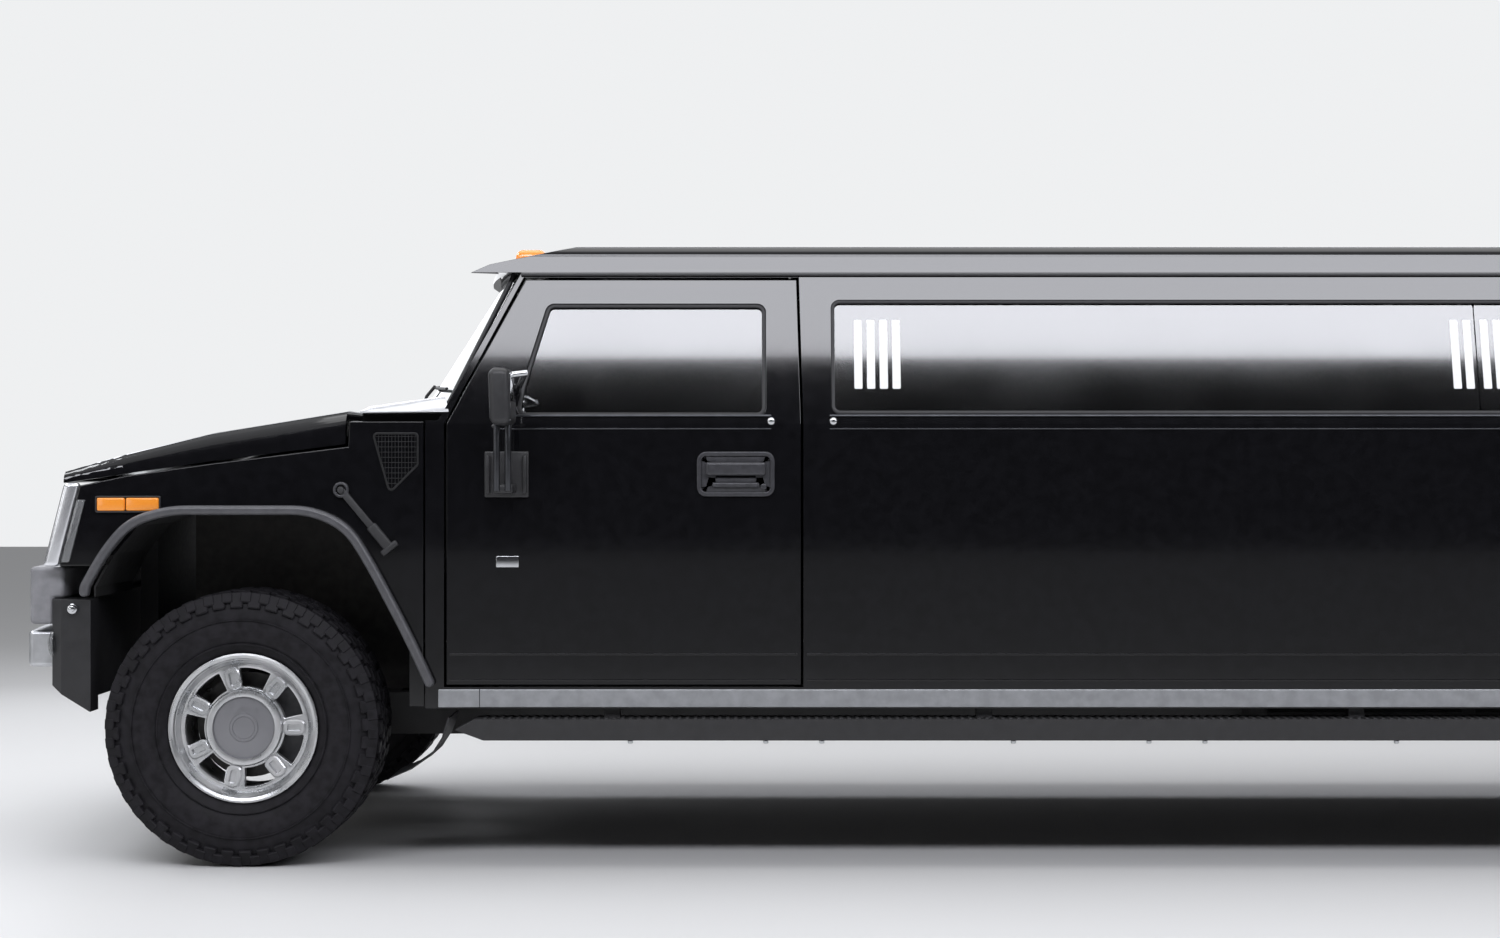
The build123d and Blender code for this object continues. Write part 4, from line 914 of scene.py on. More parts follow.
for side, side_name in car_sides:
    body = "door_front_" + side_name
    post_y = side * mirror_post_y
    head_y = side * mirror_head_y
    base_plate = box_piece("base", (0.140, 0.012, 0.146), (mirror_x, side * 0.9965, base_z), 0.005, 3)
    ribs = [box_piece("rib", (0.012, 0.018, 0.120), (mirror_x + along, side * 1.006, base_z), 0.004, 2)
            for along in (-0.058, 0.058)]
    bracket = box_piece("bracket", (0.064, 0.132, 0.030), (mirror_x, side * 1.066, base_z - 0.045), 0.008, 3)
    head = box_piece("head", (0.072, 0.190, mirror_head_height), (mirror_x, head_y, mirror_head_z), 0.022, 4)
    for vertex in head.data.vertices:
        lift = (vertex.co.z - mirror_head_z) / mirror_head_height
        vertex.co.x += -0.006 * lift
        if vertex.co.x < mirror_x:
            vertex.co.x = mirror_x + (vertex.co.x - mirror_x) * (1 - lift ** 2)
    hook = rod("hook", (mirror_x - 0.030, post_y, 1.385), (mirror_x - 0.012, post_y, 1.400), 0.008)
    shell = joined("mirror_shell_" + side_name, [base_plate, *ribs, bracket, smoothed(head, 40), hook])
    dressed(smoothed(shell, 40), body, moulded, ["mirror_" + side_name])
    struts = [rod("strut", (mirror_x + along, post_y, 1.188), (mirror_x + along, post_y, 1.415), 0.0105)
              for along in (-0.0175, 0.0175)]
    door_y = side * (skin_y(1.500) + 0.002)
    arm = [
        rod("arm", (mirror_x - 0.010, post_y, 1.545), (mirror_x + 0.078, side * 1.120, 1.556), 0.010),
        rod("arm", (mirror_x + 0.070, side * 1.122, 1.556), (mirror_x + 0.030, door_y, 1.500), 0.009),
    ]
    dressed(joined("mirror_struts_" + side_name, struts), body, dark_anodised)
    dressed(joined("mirror_arm_" + side_name, arm), body, bright_metal)
    glass_place = (mirror_x + 0.0345, head_y, mirror_head_z - 0.002)
    face = box_piece("mirror_face_" + side_name, (0.004, 0.160, 0.146), glass_place, 0.0015, 2)
    dressed(smoothed(face, 40), body, silvered)

# Door handles: a black die-cast paddle in a recessed, rounded escutcheon, with a lock barrel beside it.
handle_width, handle_height = 0.246, 0.142
handle_z = 1.241
black_casting = surface("black_casting", (0.050, 0.050, 0.056), 0.34, 0.3, spread=0.15, scale=60.0,
                        grain=0.05, grain_scale=1200.0)


def flat_place(side, skin):
    """Places (x, z, height) on an upright wall."""
    def place(x, z, height):
        return (x, side * (skin + height), z)
    return place


def handle_set(side, centre_x, body, name):
    """An escutcheon ring, a dished back plate, a paddle and a lock barrel on one door."""
    place = flat_place(side, body_half_width)
    outline = rounded_outline(corners_about(centre_x, handle_z, handle_width, handle_height), 0.030, 6)
    frame_ring = ring_piece("ring", outline, 0.014, 0.009, place, 0.003)
    inner_corners = corners_about(centre_x, handle_z, handle_width - 0.020, handle_height - 0.020)
    back = ring_piece("back", rounded_outline(inner_corners, 0.022, 6), 0.050, 0.0025, place, 0.001)
    paddle_length = 0.190
    paddle_place = place(centre_x, handle_z + 0.012, 0.010)
    paddle = box_piece("paddle", (paddle_length, 0.020, 0.042), paddle_place, 0.008, 4)
    for vertex in paddle.data.vertices:
        share = (vertex.co.x - centre_x) / (paddle_length / 2)
        vertex.co.z += 0.010 * share * share - 0.004
    grip = box_piece("grip", (0.150, 0.014, 0.016), place(centre_x, handle_z - 0.034, 0.007), 0.006, 3)
    lock_x, lock_z = centre_x + 0.088, handle_z - 0.040
    lock = rod("lock", place(lock_x, lock_z, 0.0), place(lock_x, lock_z, 0.008), 0.010, 24)
    whole = joined(name, [frame_ring, back, smoothed(paddle, 40), smoothed(grip, 40), lock])
    dressed(whole, body, black_casting)


for side, side_name in car_sides:
    handle_set(side, front_axle_x + 1.560, "door_front_" + side_name, "handle_front_" + side_name)
    handle_set(side, rear_door_rear_x - 0.180, "door_rear_" + side_name, "handle_rear_" + side_name)

# Small fittings on the side: a blank bright plate on the door, a two-part amber marker lamp on the fender,
# and a rubber hood latch with its ring, strap and T handle.
amber, amber_shader = new_material("amber_lens", (0.95, 0.33, 0.04), 0.18, extras={
    "Transmission Weight": 0.25,
    "Coat Weight": 0.6,
    "Emission Color": (1.0, 0.30, 0.02, 1),
    "Emission Strength": 0.22,
})
amber_tree, amber_noise = linked_noise(amber, 260.0, 1.0, stretch=(1, 1, 4))
blend_colours(amber_tree, amber_noise.outputs["Fac"], amber_shader.inputs["Base Color"],
              (0.80, 0.22, 0.02), (1.0, 0.42, 0.06))
bumped(amber_tree, amber_noise.outputs["Fac"], amber_shader, 0.1, 0.001)
marker_front_x, marker_rear_x = -4.628, -4.433
marker_low_z, marker_high_z = 1.125, 1.166
latch_ring_x, latch_ring_z = -3.857, 1.191
latch_end_x, latch_end_z = -3.700, 1.002
latch_rubber = surface("latch_rubber", (0.022, 0.022, 0.024), 0.55, spread=0.2, scale=60.0, grain=0.1,
                       grain_scale=900.0)
for side, side_name in car_sides:
    place = flat_place(side, body_half_width)
    badge = box_piece("door_plate_" + side_name, (0.072, 0.005, 0.036), place(-3.332, 0.964, 0.002), 0.002, 3)
    dressed(smoothed(badge, 40), "door_front_" + side_name, bright_metal)
    split_x = marker_front_x + 0.46 * (marker_rear_x - marker_front_x)
    marker_z = (marker_low_z + marker_high_z) / 2
    marker_height = marker_high_z - marker_low_z
    lamp_halves = []
    for front, rear in ((marker_front_x, split_x - 0.002), (split_x + 0.002, marker_rear_x)):
        half_place = place((front + rear) / 2, marker_z, 0.006)
        half = box_piece("lens", (rear - front, 0.016, marker_height), half_place, 0.005, 3)
        lamp_halves.append(smoothed(half, 40))
    dressed(joined("side_marker_lens_" + side_name, lamp_halves), "body", amber)
    corners = corners_about((marker_front_x + marker_rear_x) / 2, marker_z,
                            marker_rear_x - marker_front_x + 0.012, marker_height + 0.012)
    outline = rounded_outline(corners, 0.006, 3)
    bezel = ring_piece("side_marker_bezel_" + side_name, outline, 0.005, 0.010, place, 0.0015)
    dressed(bezel, "body", moulded)
    clear_selection()
    bpy.ops.mesh.primitive_torus_add(
        major_radius=0.020, minor_radius=0.0055, major_segments=32, minor_segments=10,
        location=place(latch_ring_x, latch_ring_z, 0.010), rotation=(math.radians(90), 0, 0),
    )
    bpy.ops.object.transform_apply(location=True, rotation=True, scale=True)
    ring = smoothed(bpy.context.object, 60)
    lean = math.atan2(latch_ring_z - latch_end_z, latch_end_x - latch_ring_x)
    length = math.hypot(latch_ring_z - latch_end_z, latch_end_x - latch_ring_x)
    strap = box_piece("strap", (length, 0.010, 0.022), (0, 0, 0), 0.003, 2)
    grip = box_piece("grip", (0.100, 0.018, 0.034), (length / 2 - 0.050, 0, 0), 0.007, 3)
    cross = box_piece("cross", (0.020, 0.020, 0.062), (length / 2 - 0.006, 0, 0), 0.006, 3)
    peg = rod("peg", (-length / 2, -0.012, 0), (-length / 2, 0.012, 0), 0.011)
    latch = joined("hood_latch_strap_" + side_name, [strap, grip, cross, peg])
    middle = place((latch_ring_x + latch_end_x) / 2, (latch_ring_z + latch_end_z) / 2, 0.010)
    latch.data.transform(Matrix.Translation(middle) @ Matrix.Rotation(lean, 4, "Y"))
    dressed(smoothed(latch, 40), "body", latch_rubber)
    dressed(joined("hood_latch_ring_" + side_name, [ring]), "body", black_casting)

# Cowl side vents: a black wire mesh in a thin frame on each fender, where the cabin draws its air. The wires
# run up and across, and are cut to the frame's slanted shape.
vent_points = ((-3.762, 1.373), (-3.612, 1.373), (-3.612, 1.269), (-3.706, 1.175))
mesh_black = surface("mesh_black", (0.012, 0.012, 0.013), 0.5, 0.4, spread=0.2, scale=60.0)
wire_off, wire_radius = 0.0012, 0.0012
for side, side_name in car_sides:
    place = flat_place(side, body_half_width)
    rim_band = ring_piece("rim_band", rounded_outline(vent_points, 0.014, 4), 0.007, 0.004, place, 0.0012)
    wires = []
    low_x, high_x = vent_points[0][0], vent_points[1][0]
    for step in range(13):
        x = low_x + 0.012 + step * (high_x - low_x - 0.024) / 12
        foot = 1.185 if x > -3.700 else 1.185 + (-3.700 - x) * 3.2
        if x > -3.700:
            foot = max(foot, 1.180 + (x + 3.700) * 1.05)
        wires.append(rod("wire", place(x, foot, wire_off), place(x, 1.368, wire_off), wire_radius, 6))
    for step in range(11):
        z = 1.360 - step * 0.0165
        front = max(low_x + 0.008, low_x + (1.373 - z) * 0.285)
        rear = high_x - 0.006 if z > 1.272 else high_x - 0.006 - (1.272 - z) * 0.98
        if rear - front > 0.02:
            wires.append(rod("wire", place(front, z, wire_off), place(rear, z, wire_off), wire_radius, 6))
    dressed(joined("cowl_vent_" + side_name, [rim_band, *wires]), "body", mesh_black)

# Antenna: a short black whip, leaning back, in a round moulded foot. The foot is bolted through the roof,
# to the left of its middle.
antenna_foot = (-3.085, -0.30, 1.990)
whip = rod("whip", antenna_foot, (antenna_foot[0] + 0.022, antenna_foot[1], 2.0072), 0.003, 8)
foot = rod("foot", (antenna_foot[0], antenna_foot[1], antenna_foot[2] - 0.012),
           (antenna_foot[0], antenna_foot[1], antenna_foot[2] + 0.006), 0.014, 20)
dressed(joined("roof_antenna", [whip, foot]), "body", moulded)

# Front end: a bright leaning grille with a wire screen behind its slots, round headlamps in square holes,
# and clear lamp ends that wrap on to the fenders.
grille_low_z, grille_top_z = 0.945, 1.205
grille_back_x = -4.752
grille_set_back = 0.066
grille_lean = math.atan2(grille_set_back, grille_top_z - grille_low_z)


def grille_x(z):
    """The rear face of the leaning grille at a height."""
    return grille_back_x + grille_set_back * (z - grille_low_z) / (grille_top_z - grille_low_z)


chrome = surface("chrome_grille", (0.64, 0.65, 0.67), 0.10, 1.0, spread=0.06, scale=18.0)
dressed_node("grille", "body", chrome, 0.004)
lamp_y, lamp_z = 0.780, 1.078
end_metal = surface("grille_end_bright", (0.80, 0.81, 0.84), 0.24, 0.85, spread=0.05, scale=20.0)
end_low_z, end_top_z = 0.948, 1.214
lens_clear, lens_shader = new_material("lens_clear", (0.90, 0.92, 0.95), 0.05,
                                       extras={"Transmission Weight": 0.85, "Coat Weight": 0.5})
lens_tree, lens_noise = glossed(lens_clear, lens_shader, 220.0, 0.03, 0.08, 1.0, (1, 4, 1))
bumped(lens_tree, lens_noise.outputs["Fac"], lens_shader, 0.15, 0.001)
dressed_node("headlamps", "body", moulded, 0.003)
reflector_section = ((0.000, 0.030), (-0.004, 0.056), (-0.014, 0.078), (-0.018, 0.090), (-0.015, 0.090),
                     (-0.010, 0.080), (0.000, 0.060), (0.004, 0.030))
glass_section = ((-0.012, 0.0), (-0.0115, 0.030), (-0.009, 0.060), (-0.004, 0.082), (0.0, 0.086),
                 (0.003, 0.082), (-0.001, 0.060), (-0.004, 0.030), (-0.005, 0.0))
bulb_section = ((-0.016, 0.0), (-0.014, 0.010), (-0.004, 0.014), (0.0, 0.032), (0.002, 0.0))
wrap_low_z, wrap_top_z, wrap_width = 0.962, 1.160, 0.026
for side, side_name in car_sides:
    face_x = grille_x(lamp_z) - 0.036
    seat = (Matrix.Translation((face_x, side * lamp_y, lamp_z)) @ Matrix.Rotation(grille_lean, 4, "Y")
            @ Matrix.Rotation(math.radians(-90), 4, "Z"))
    bowl = smoothed(spun_piece("bowl", reflector_section, 48), 50)
    bulb = spun_piece("bulb", bulb_section, 24)
    trim_bars = [box_piece("trim", (0.200, 0.006, 0.006), (0, -0.004, rise), 0.002, 2)
                 for rise in (-0.088, 0.088)]
    reflector = joined("headlamp_reflector_" + side_name, [bowl, smoothed(bulb, 50), *trim_bars])
    reflector.data.transform(seat @ Matrix.Translation((0, 0.002, 0)))
    dressed(reflector, "body", chrome)
    cover = smoothed(spun_piece("headlamp_lens_" + side_name, glass_section, 48), 50)
    cover.data.transform(seat @ Matrix.Translation((0, -0.014, 0)))
    dressed(cover, "body", lens_clear)
    bead = box_piece("grille_end_" + side_name, (0.052, 0.030, end_top_z - end_low_z),
                     (0, side * 0.972, (end_low_z + end_top_z) / 2), 0.014, 6)
    for vertex in bead.data.vertices:
        vertex.co.x += grille_x(vertex.co.z) - 0.028
    dressed(smoothed(bead, 60), "body", end_metal)
    wrap = box_piece("headlamp_wrap_" + side_name, (wrap_width, 0.012, wrap_top_z - wrap_low_z),
                     (0, side * (body_half_width + 0.001), (wrap_low_z + wrap_top_z) / 2), 0.004, 3)
    for vertex in wrap.data.vertices:
        vertex.co.x += grille_x(vertex.co.z) + 0.004 + wrap_width / 2
    dressed(smoothed(wrap, 40), "body", lens_clear)

clear_selection()
bpy.ops.mesh.primitive_grid_add(x_subdivisions=13, y_subdivisions=84, size=1)
screen = bpy.context.object
screen.name = "grille_screen"
apply_modifier(screen, "WIREFRAME", thickness=0.0024, use_even_offset=False)
for vertex in screen.data.vertices:
    z = 1.080 + vertex.co.x * 0.190
    vertex.co = (grille_x(z) + 0.004 + vertex.co.z, vertex.co.y * 1.240, z)
dressed(screen, "body", mesh_black)

# Front bumper: a black moulded wrap-round body, a grey step tier and a satin lower tier, with a ribbed pad
# on the step and a bright knob at each end.
bumper_plastic = surface("bumper_plastic", (0.017, 0.017, 0.019), 0.38, spread=0.15, scale=30.0, grain=0.15,
                         grain_scale=1300.0, film=0.25)
step_grey = surface("bumper_step_grey", (0.23, 0.23, 0.245), 0.46, spread=0.10, scale=30.0, grain=0.15,
                    grain_scale=1300.0, film=0.15)
bumper_satin = surface("bumper_satin", (0.55, 0.56, 0.58), 0.30, 0.9, spread=0.10, scale=25.0, grain=0.04,
                       film=0.20)
dressed_node("bumper_core", "body", bumper_plastic, 0.010)
tiers = dressed_node("bumper_front", "body", step_grey, 0.014)
tiers.data.materials.append(bumper_satin)
tier_seam_z = 0.751
for part in tiers.data.polygons:
    part.material_index = 1 if part.center.z < tier_seam_z else 0
pad_ribs = []
for index in range(9):
    rib_x = -4.868 + 0.012 * index
    pad_ribs.append(box_piece("rib", (0.005, 1.42, 0.006), (rib_x, 0, grille_low_z + 0.001), 0.0015, 2))
dressed(joined("bumper_step_pad", pad_ribs), "body", moulded)
knob_x, knob_z = -4.707, 0.815
fog_section = ((-0.018, 0.0), (-0.015, 0.030), (-0.006, 0.044), (0.0, 0.050), (0.006, 0.050), (0.006, 0.0))
for side, side_name in car_sides:
    stem = rod("stem", (knob_x, side * 0.984, knob_z), (knob_x, side * 1.000, knob_z), 0.017, 24)
    head = rod("head", (knob_x, side * 0.998, knob_z), (knob_x, side * 1.008, knob_z), 0.011, 6)
    dressed(joined("bumper_knob_" + side_name, [stem, head]), "body", bright_metal)
    lamp = spun_piece("fog_lamp_" + side_name, fog_section, 40)
    lamp.data.transform(Matrix.Translation((-4.7855, side * 0.915, 0.700))
                        @ Matrix.Rotation(math.radians(-90), 4, "Z"))
    dressed(smoothed(lamp, 45), "body", lens_clear)

# Arch flares, sill strips and running boards: moulded lips that catch the light, a satin strip in two
# lengths, and pressed steps with a ribbed tread, hung on bolted brackets.
flare_plastic = surface("flare_plastic", (0.075, 0.075, 0.082), 0.34, spread=0.12, scale=30.0, grain=0.10,
                        grain_scale=1300.0, film=0.20)
sill_satin = surface("sill_satin", (0.42, 0.43, 0.45), 0.36, 0.85, spread=0.10, scale=25.0, grain=0.03,
                     film=0.20)
board_black = surface("board_plastic", (0.020, 0.020, 0.022), 0.44, spread=0.15, scale=30.0, grain=0.2,
                      grain_scale=1200.0, film=0.35)
flare_width, flare_rise = 0.030, 0.042
# Columns: distance from the axle towards the nearer end of the car, height; the first and last are cut ends
arch_points = (
    (0.478, 0.855),
    (0.478, 0.880),
    (0.420, 0.985),
    (0.345, 1.075),
    (0.230, 1.112),
    (-0.215, 1.112),
    (-0.325, 1.062),
    (-0.400, 0.940),
    (-0.515, 0.720),
    (-0.586, 0.565),
)


def curved_path(points, outward, radius, steps=6):
    """The points' path moved outward, with an arc at each inner corner."""
    moved = []
    vectors = [Vector(point) for point in points]
    for index, here in enumerate(vectors):
        spans = []
        if index:
            spans.append(here - vectors[index - 1])
        if index + 1 < len(vectors):
            spans.append(vectors[index + 1] - here)
        normals = [Vector((-span.y, span.x)).normalized() * -1 for span in spans]
        middle = sum(normals, Vector((0, 0))).normalized()
        moved.append(here + middle * (outward / max(0.3, middle.dot(normals[0]))))
    path = [tuple(moved[0])]
    for index in range(1, len(moved) - 1):
        here = moved[index]
        back = moved[index - 1] - here
        ahead = moved[index + 1] - here
        reach = min(radius, back.length * 0.48, ahead.length * 0.48)
        start, end = here + back.normalized() * reach, here + ahead.normalized() * reach
        for step in range(steps + 1):
            share = step / steps
            path.append(tuple(start * (1 - share) ** 2 + here * 2 * share * (1 - share) + end * share ** 2))
    path.append(tuple(moved[-1]))
    return path


def lip_piece(name, inner, outer, rise, place, rounding):
    """A band between two paths, raised by its thickness and rounded."""
    clear_selection()
    bpy.ops.mesh.primitive_grid_add(x_subdivisions=len(inner) - 1, y_subdivisions=1, size=2)
    lip = bpy.context.object
    lip.name = name
    for vertex in lip.data.vertices:
        index = round((vertex.co.x + 1) / 2 * (len(inner) - 1))
        x, z = inner[index] if vertex.co.y < 0 else outer[index]
        vertex.co = (x, z, 0)
    apply_modifier(lip, "SOLIDIFY", thickness=rise, offset=1.0)
    low = min(vertex.co.z for vertex in lip.data.vertices)
    apply_modifier(lip, "BEVEL", width=rounding, segments=4, limit_method="ANGLE",
                   angle_limit=math.radians(50))
    for vertex in lip.data.vertices:
        vertex.co = place(vertex.co.x, vertex.co.y, vertex.co.z - low)
    return smoothed(turned_out(lip), 50)


flares = []
for axle_x, end_sign in ((front_axle_x, -1), (rear_axle_x, 1)):
    for side in (-1, 1):
        inner = [(axle_x + end_sign * along, z) for along, z in curved_path(arch_points, 0.0, 0.075)]
        outer = [(axle_x + end_sign * along, z) for along, z in curved_path(arch_points, flare_width, 0.090)]
        flares.append(lip_piece("flare", inner, outer, flare_rise, flat_place(side, body_half_width), 0.012))
dressed(joined("arch_flares_dressed", flares), "body", flare_plastic, ["arch_flares"])
dressed_node("sill_strips", "body", sill_satin, 0.003)
dressed_node("running_boards", "body", board_black, 0.009)
board_top_z = 0.469
board_ribs = 264
board_rib_pitch = 0.0255
bolt_z = 0.404
board_rib_size = (0.012, 0.100, 0.005)
flap_line = ((-3.705, 0.277), (-3.640, 0.305), (-3.575, 0.350), (-3.540, 0.405), (-3.520, 0.468))
for side, side_name in car_sides:
    first_place = (-3.400, side * 0.972, board_top_z + 0.001)
    rib = box_piece("board_tread_" + side_name, board_rib_size, first_place, 0.0015, 1)
    apply_modifier(rib, "ARRAY", count=board_ribs, use_relative_offset=False, use_constant_offset=True,
                   constant_offset_displace=(board_rib_pitch, 0, 0))
    dressed(smoothed(rib, 30), "body", board_black)
    bolts = []
    for start, count, pitch in ((-2.943, 11, 0.605), (-2.515, 6, 1.210)):
        for index in range(count):
            x = start + index * pitch
            bolts.append(rod("bolt", (x, side * 1.000, bolt_z), (x, side * 1.000, bolt_z - 0.014), 0.009, 6))
    dressed(joined("board_bolts_" + side_name, bolts), "body", bright_metal)
    joint = side_bar("sill_joint_" + side_name, side, -3.4205, -3.4175, 0.503, 0.562, 0.0128)
    dressed(joint, "body", seal_rubber)
    flap = box_piece("mud_flap_" + side_name, (0.006, 0.250, 1.0), (0, side * 0.845, 0.5))
    bpy.ops.object.mode_set(mode="EDIT")
    for share in (0.25, 0.5, 0.75):
        bpy.ops.mesh.select_all(action="SELECT")
        bpy.ops.mesh.bisect(plane_co=(0, 0, share), plane_no=(0, 0, 1))
    bpy.ops.object.mode_set(mode="OBJECT")
    for vertex in flap.data.vertices:
        x, z = flap_line[round(vertex.co.z * 4)]
        vertex.co.x += x
        vertex.co.z = z
    dressed(smoothed(flap, 50), "body", moulded)

# Pressed lines: two shallow beads along the lower side. They are pressed into the sheet, so each door and
# each panel between the doors carries its own length, in the body's paint.
bead_height, bead_rise = 0.007, 0.004
# Columns: body, front, rear of the upper bead, rear of the lower bead
bead_runs = (
    ("door_front_", -3.515, -2.414, -2.414),
    ("body", -2.386, 2.682, 2.682),
    ("door_rear_", 2.704, 3.425, 3.382),
    ("body", 4.556, 4.832, 4.832),
)
upper_bead_z, lower_bead_z = 0.671, 0.589
for side, side_name in car_sides:
    for index, (body, front, upper_rear, lower_rear) in enumerate(bead_runs):
        rides = body if body == "body" else body + side_name
        beads = [side_bar("bead", side, front, rear, z - bead_height / 2, z + bead_height / 2, bead_rise,
                          0.001, 0.0018)
                 for z, rear in ((upper_bead_z, upper_rear), (lower_bead_z, lower_rear))]
        dressed(joined(f"pressed_beads_{index}_{side_name}", beads), rides, paint)

# Roof edge: a black rubber drip rail along each side over the doors, and five amber marker lamps across the
# brow. The lamps are moulded domes, screwed down on black feet.
for side, side_name in car_sides:
    rail = side_bar("drip_rail_" + side_name, side, -3.300, 4.836, 1.8765, 1.8855, 0.009, 0.001, 0.002)
    dressed(rail, "body", seal_rubber)
lamp_lenses = []
lamp_feet = []
# Columns: distance from the middle, x of the lamp's middle
roof_lamp_places = ((-0.700, -3.282), (-0.190, -3.338), (0.0, -3.342), (0.190, -3.338), (0.700, -3.282))
dome_z, dome_height = 1.949, 0.052
for y, x in roof_lamp_places:
    dome = box_piece("dome", (0.104, 0.064, dome_height), (x, y, dome_z), 0.018, 4)
    for vertex in dome.data.vertices:
        taper = 1 - 0.16 * max(0.0, (vertex.co.z - dome_z) / (dome_height / 2))
        vertex.co.x = x + (vertex.co.x - x) * taper
        vertex.co.y = y + (vertex.co.y - y) * taper
    lamp_lenses.append(smoothed(dome, 50))
    lamp_feet.append(box_piece("foot", (0.110, 0.070, 0.016), (x, y, dome_z - 0.015), 0.006, 3))
dressed(joined("roof_lamp_lenses", lamp_lenses), "body", amber, ["roof_lamps"])
dressed(joined("roof_lamp_feet", lamp_feet), "body", moulded)

# Windshield surround: a rubber seal round the curved glass, a bright cowl panel in front of it with black
# rubber blocks painted on as the shade of its air slots, and two wipers on the glass.
shield_low_z, shield_top_z = 1.4403, 1.8877


def shield_point(across, share, off):
    """A point on the windshield: across from -1 to 1, share from its base to its top, off its face."""
    half = 0.915 - 0.100 * share
    middle_x = -3.717 + 0.293 * share
    corner_x = -3.537 + 0.213 * share
    x = middle_x + (corner_x - middle_x) * across * across
    z = shield_low_z + share * (shield_top_z - shield_low_z)
    return (x - 0.84 * off, across * half, z + 0.54 * off)


def tube(name, points, radius, cyclic=False, resolution=3):
    """A round cord through points, as a mesh."""
    data = bpy.data.curves.new(name, "CURVE")
    data.dimensions = "3D"
    data.bevel_depth = radius
    data.bevel_resolution = resolution
    data.use_fill_caps = True
    spline = data.splines.new("POLY")
    spline.points.add(len(points) - 1)
    for holder, point in zip(spline.points, points):
        holder.co = (*point, 1)
    spline.use_cyclic_u = cyclic
    cord = bpy.data.objects.new(name, data)
    bpy.context.scene.collection.objects.link(cord)
    picked(cord)
    bpy.ops.object.convert(target="MESH")
    return smoothed(bpy.context.object, 45)


shares = [step / 16 for step in range(-16, 17)]
seal_path = [shield_point(share, 0.012, 0.002) for share in shares]
seal_path += [shield_point(1.0, step / 8, 0.002) for step in range(1, 8)]
seal_path += [shield_point(share, 0.985, 0.002) for share in reversed(shares)]
seal_path += [shield_point(-1.0, step / 8, 0.002) for step in range(7, 0, -1)]
dressed(tube("windshield_seal", seal_path, 0.009, cyclic=True), "body", seal_rubber)
wiper_parts = []
for low_end, high_end, pivot in ((-0.88, -0.16, -0.40), (-0.06, 0.66, 0.42)):
    blade = [shield_point(low_end + (high_end - low_end) * step / 10, 0.160 + 0.006 * step, 0.010)
             for step in range(11)]
    wiper_parts.append(tube("blade", blade, 0.0055, resolution=1))
    arm = [shield_point(pivot, 0.085, 0.016), shield_point(pivot - 0.03, 0.12, 0.022),
           shield_point((low_end + high_end) / 2, 0.190, 0.018)]
    wiper_parts.append(tube("arm", arm, 0.006, resolution=1))
dressed(joined("wipers", wiper_parts), "body", moulded)

cowl_metal = surface("cowl_panel", (0.62, 0.63, 0.65), 0.30, 0.7, spread=0.08, scale=30.0, grain=0.03)
cowl_half_width = 0.985


def cowl_point(along, across):
    """A point on the cowl's crowned top: along from front to rear, across from -1 to 1."""
    front_x = -3.830 + 0.030 * across * across
    rear_x = shield_point(across, 0.105, 0.0)[0] - 0.004
    y = across * cowl_half_width
    edge = min(1.0, (cowl_half_width - abs(y)) / 0.070)
    front_edge = min(1.0, 0.25 + along / 0.12)
    rise = (0.014 + 0.036 * along) * (1.0 - (1.0 - edge) ** 2) * front_edge
    return (front_x + (rear_x - front_x) * along, y, 1.4395 + rise)


clear_selection()
bpy.ops.mesh.primitive_grid_add(x_subdivisions=24, y_subdivisions=120, size=2)
cowl = bpy.context.object
cowl.name = "cowl_panel"
for vertex in cowl.data.vertices:
    vertex.co = cowl_point((vertex.co.x + 1) / 2, vertex.co.y)
apply_modifier(cowl, "SOLIDIFY", thickness=0.006, offset=-1.0)
apply_modifier(cowl, "BEVEL", width=0.002, segments=2, limit_method="ANGLE", angle_limit=math.radians(60))
dressed(smoothed(cowl, 40), "body", cowl_metal)
# Painted shade: black rubber blocks sit on the cowl where its air slots are; no openings are cut through it.
slot_shade_blocks = []
for step in range(-9, 10):
    slot_place = cowl_point(0.5, step * 0.075 / cowl_half_width)
    slot_shade_blocks.append(box_piece("slot", (0.045, 0.050, 0.004), slot_place, 0.001, 1))
dressed(joined("cowl_slot_shade", slot_shade_blocks), "body", seal_rubber)

# Hood: a grille of fine black slats let into each half of the pressed panel, and painted covers over the
# hinges at its front edge.
hood_slats = []
for side in (-1, 1):
    for index in range(7):
        x = -4.020 - index * 0.034
        z = 1.373 + (1.442 - 1.373) * (x + 4.273) / 0.428
        hood_slats.append(box_piece("slat", (0.020, 0.300, 0.008), (x, side * 0.480, z + 0.001), 0.003, 2))
dressed(joined("hood_slats", hood_slats), "hood", moulded)
hinge_pads = [box_piece("pad", (0.070, 0.040, 0.014), (-4.640, y, 1.280), 0.004, 3)
              for y in (-0.720, -0.560, 0.560, 0.720)]
dressed(joined("hood_hinge_covers", hinge_pads), "hood", paint)

# Wheels' inner parts and the underbody: cast brake discs with calipers behind the spokes, a frame in satin
# black, iron axles, a steel exhaust and moulded liners, all a little dusty low down.
brake_iron = surface("brake_iron", (0.055, 0.053, 0.052), 0.42, 0.8, spread=0.25, scale=40.0, grain=0.2)
caliper_grey = surface("caliper_grey", (0.09, 0.09, 0.095), 0.5, 0.5, spread=0.2, scale=40.0, grain=0.2)
caliper_section = ((-0.036, 0.120), (-0.036, 0.186), (0.036, 0.186), (0.036, 0.120),
                   (0.018, 0.120), (0.018, 0.174), (-0.018, 0.174), (-0.018, 0.120))
disc_section = ((-0.014, 0.088), (-0.014, 0.168), (-0.002, 0.168), (-0.002, 0.160), (0.002, 0.160),
                (0.002, 0.168), (0.014, 0.168), (0.014, 0.098), (0.040, 0.094), (0.040, 0.088))
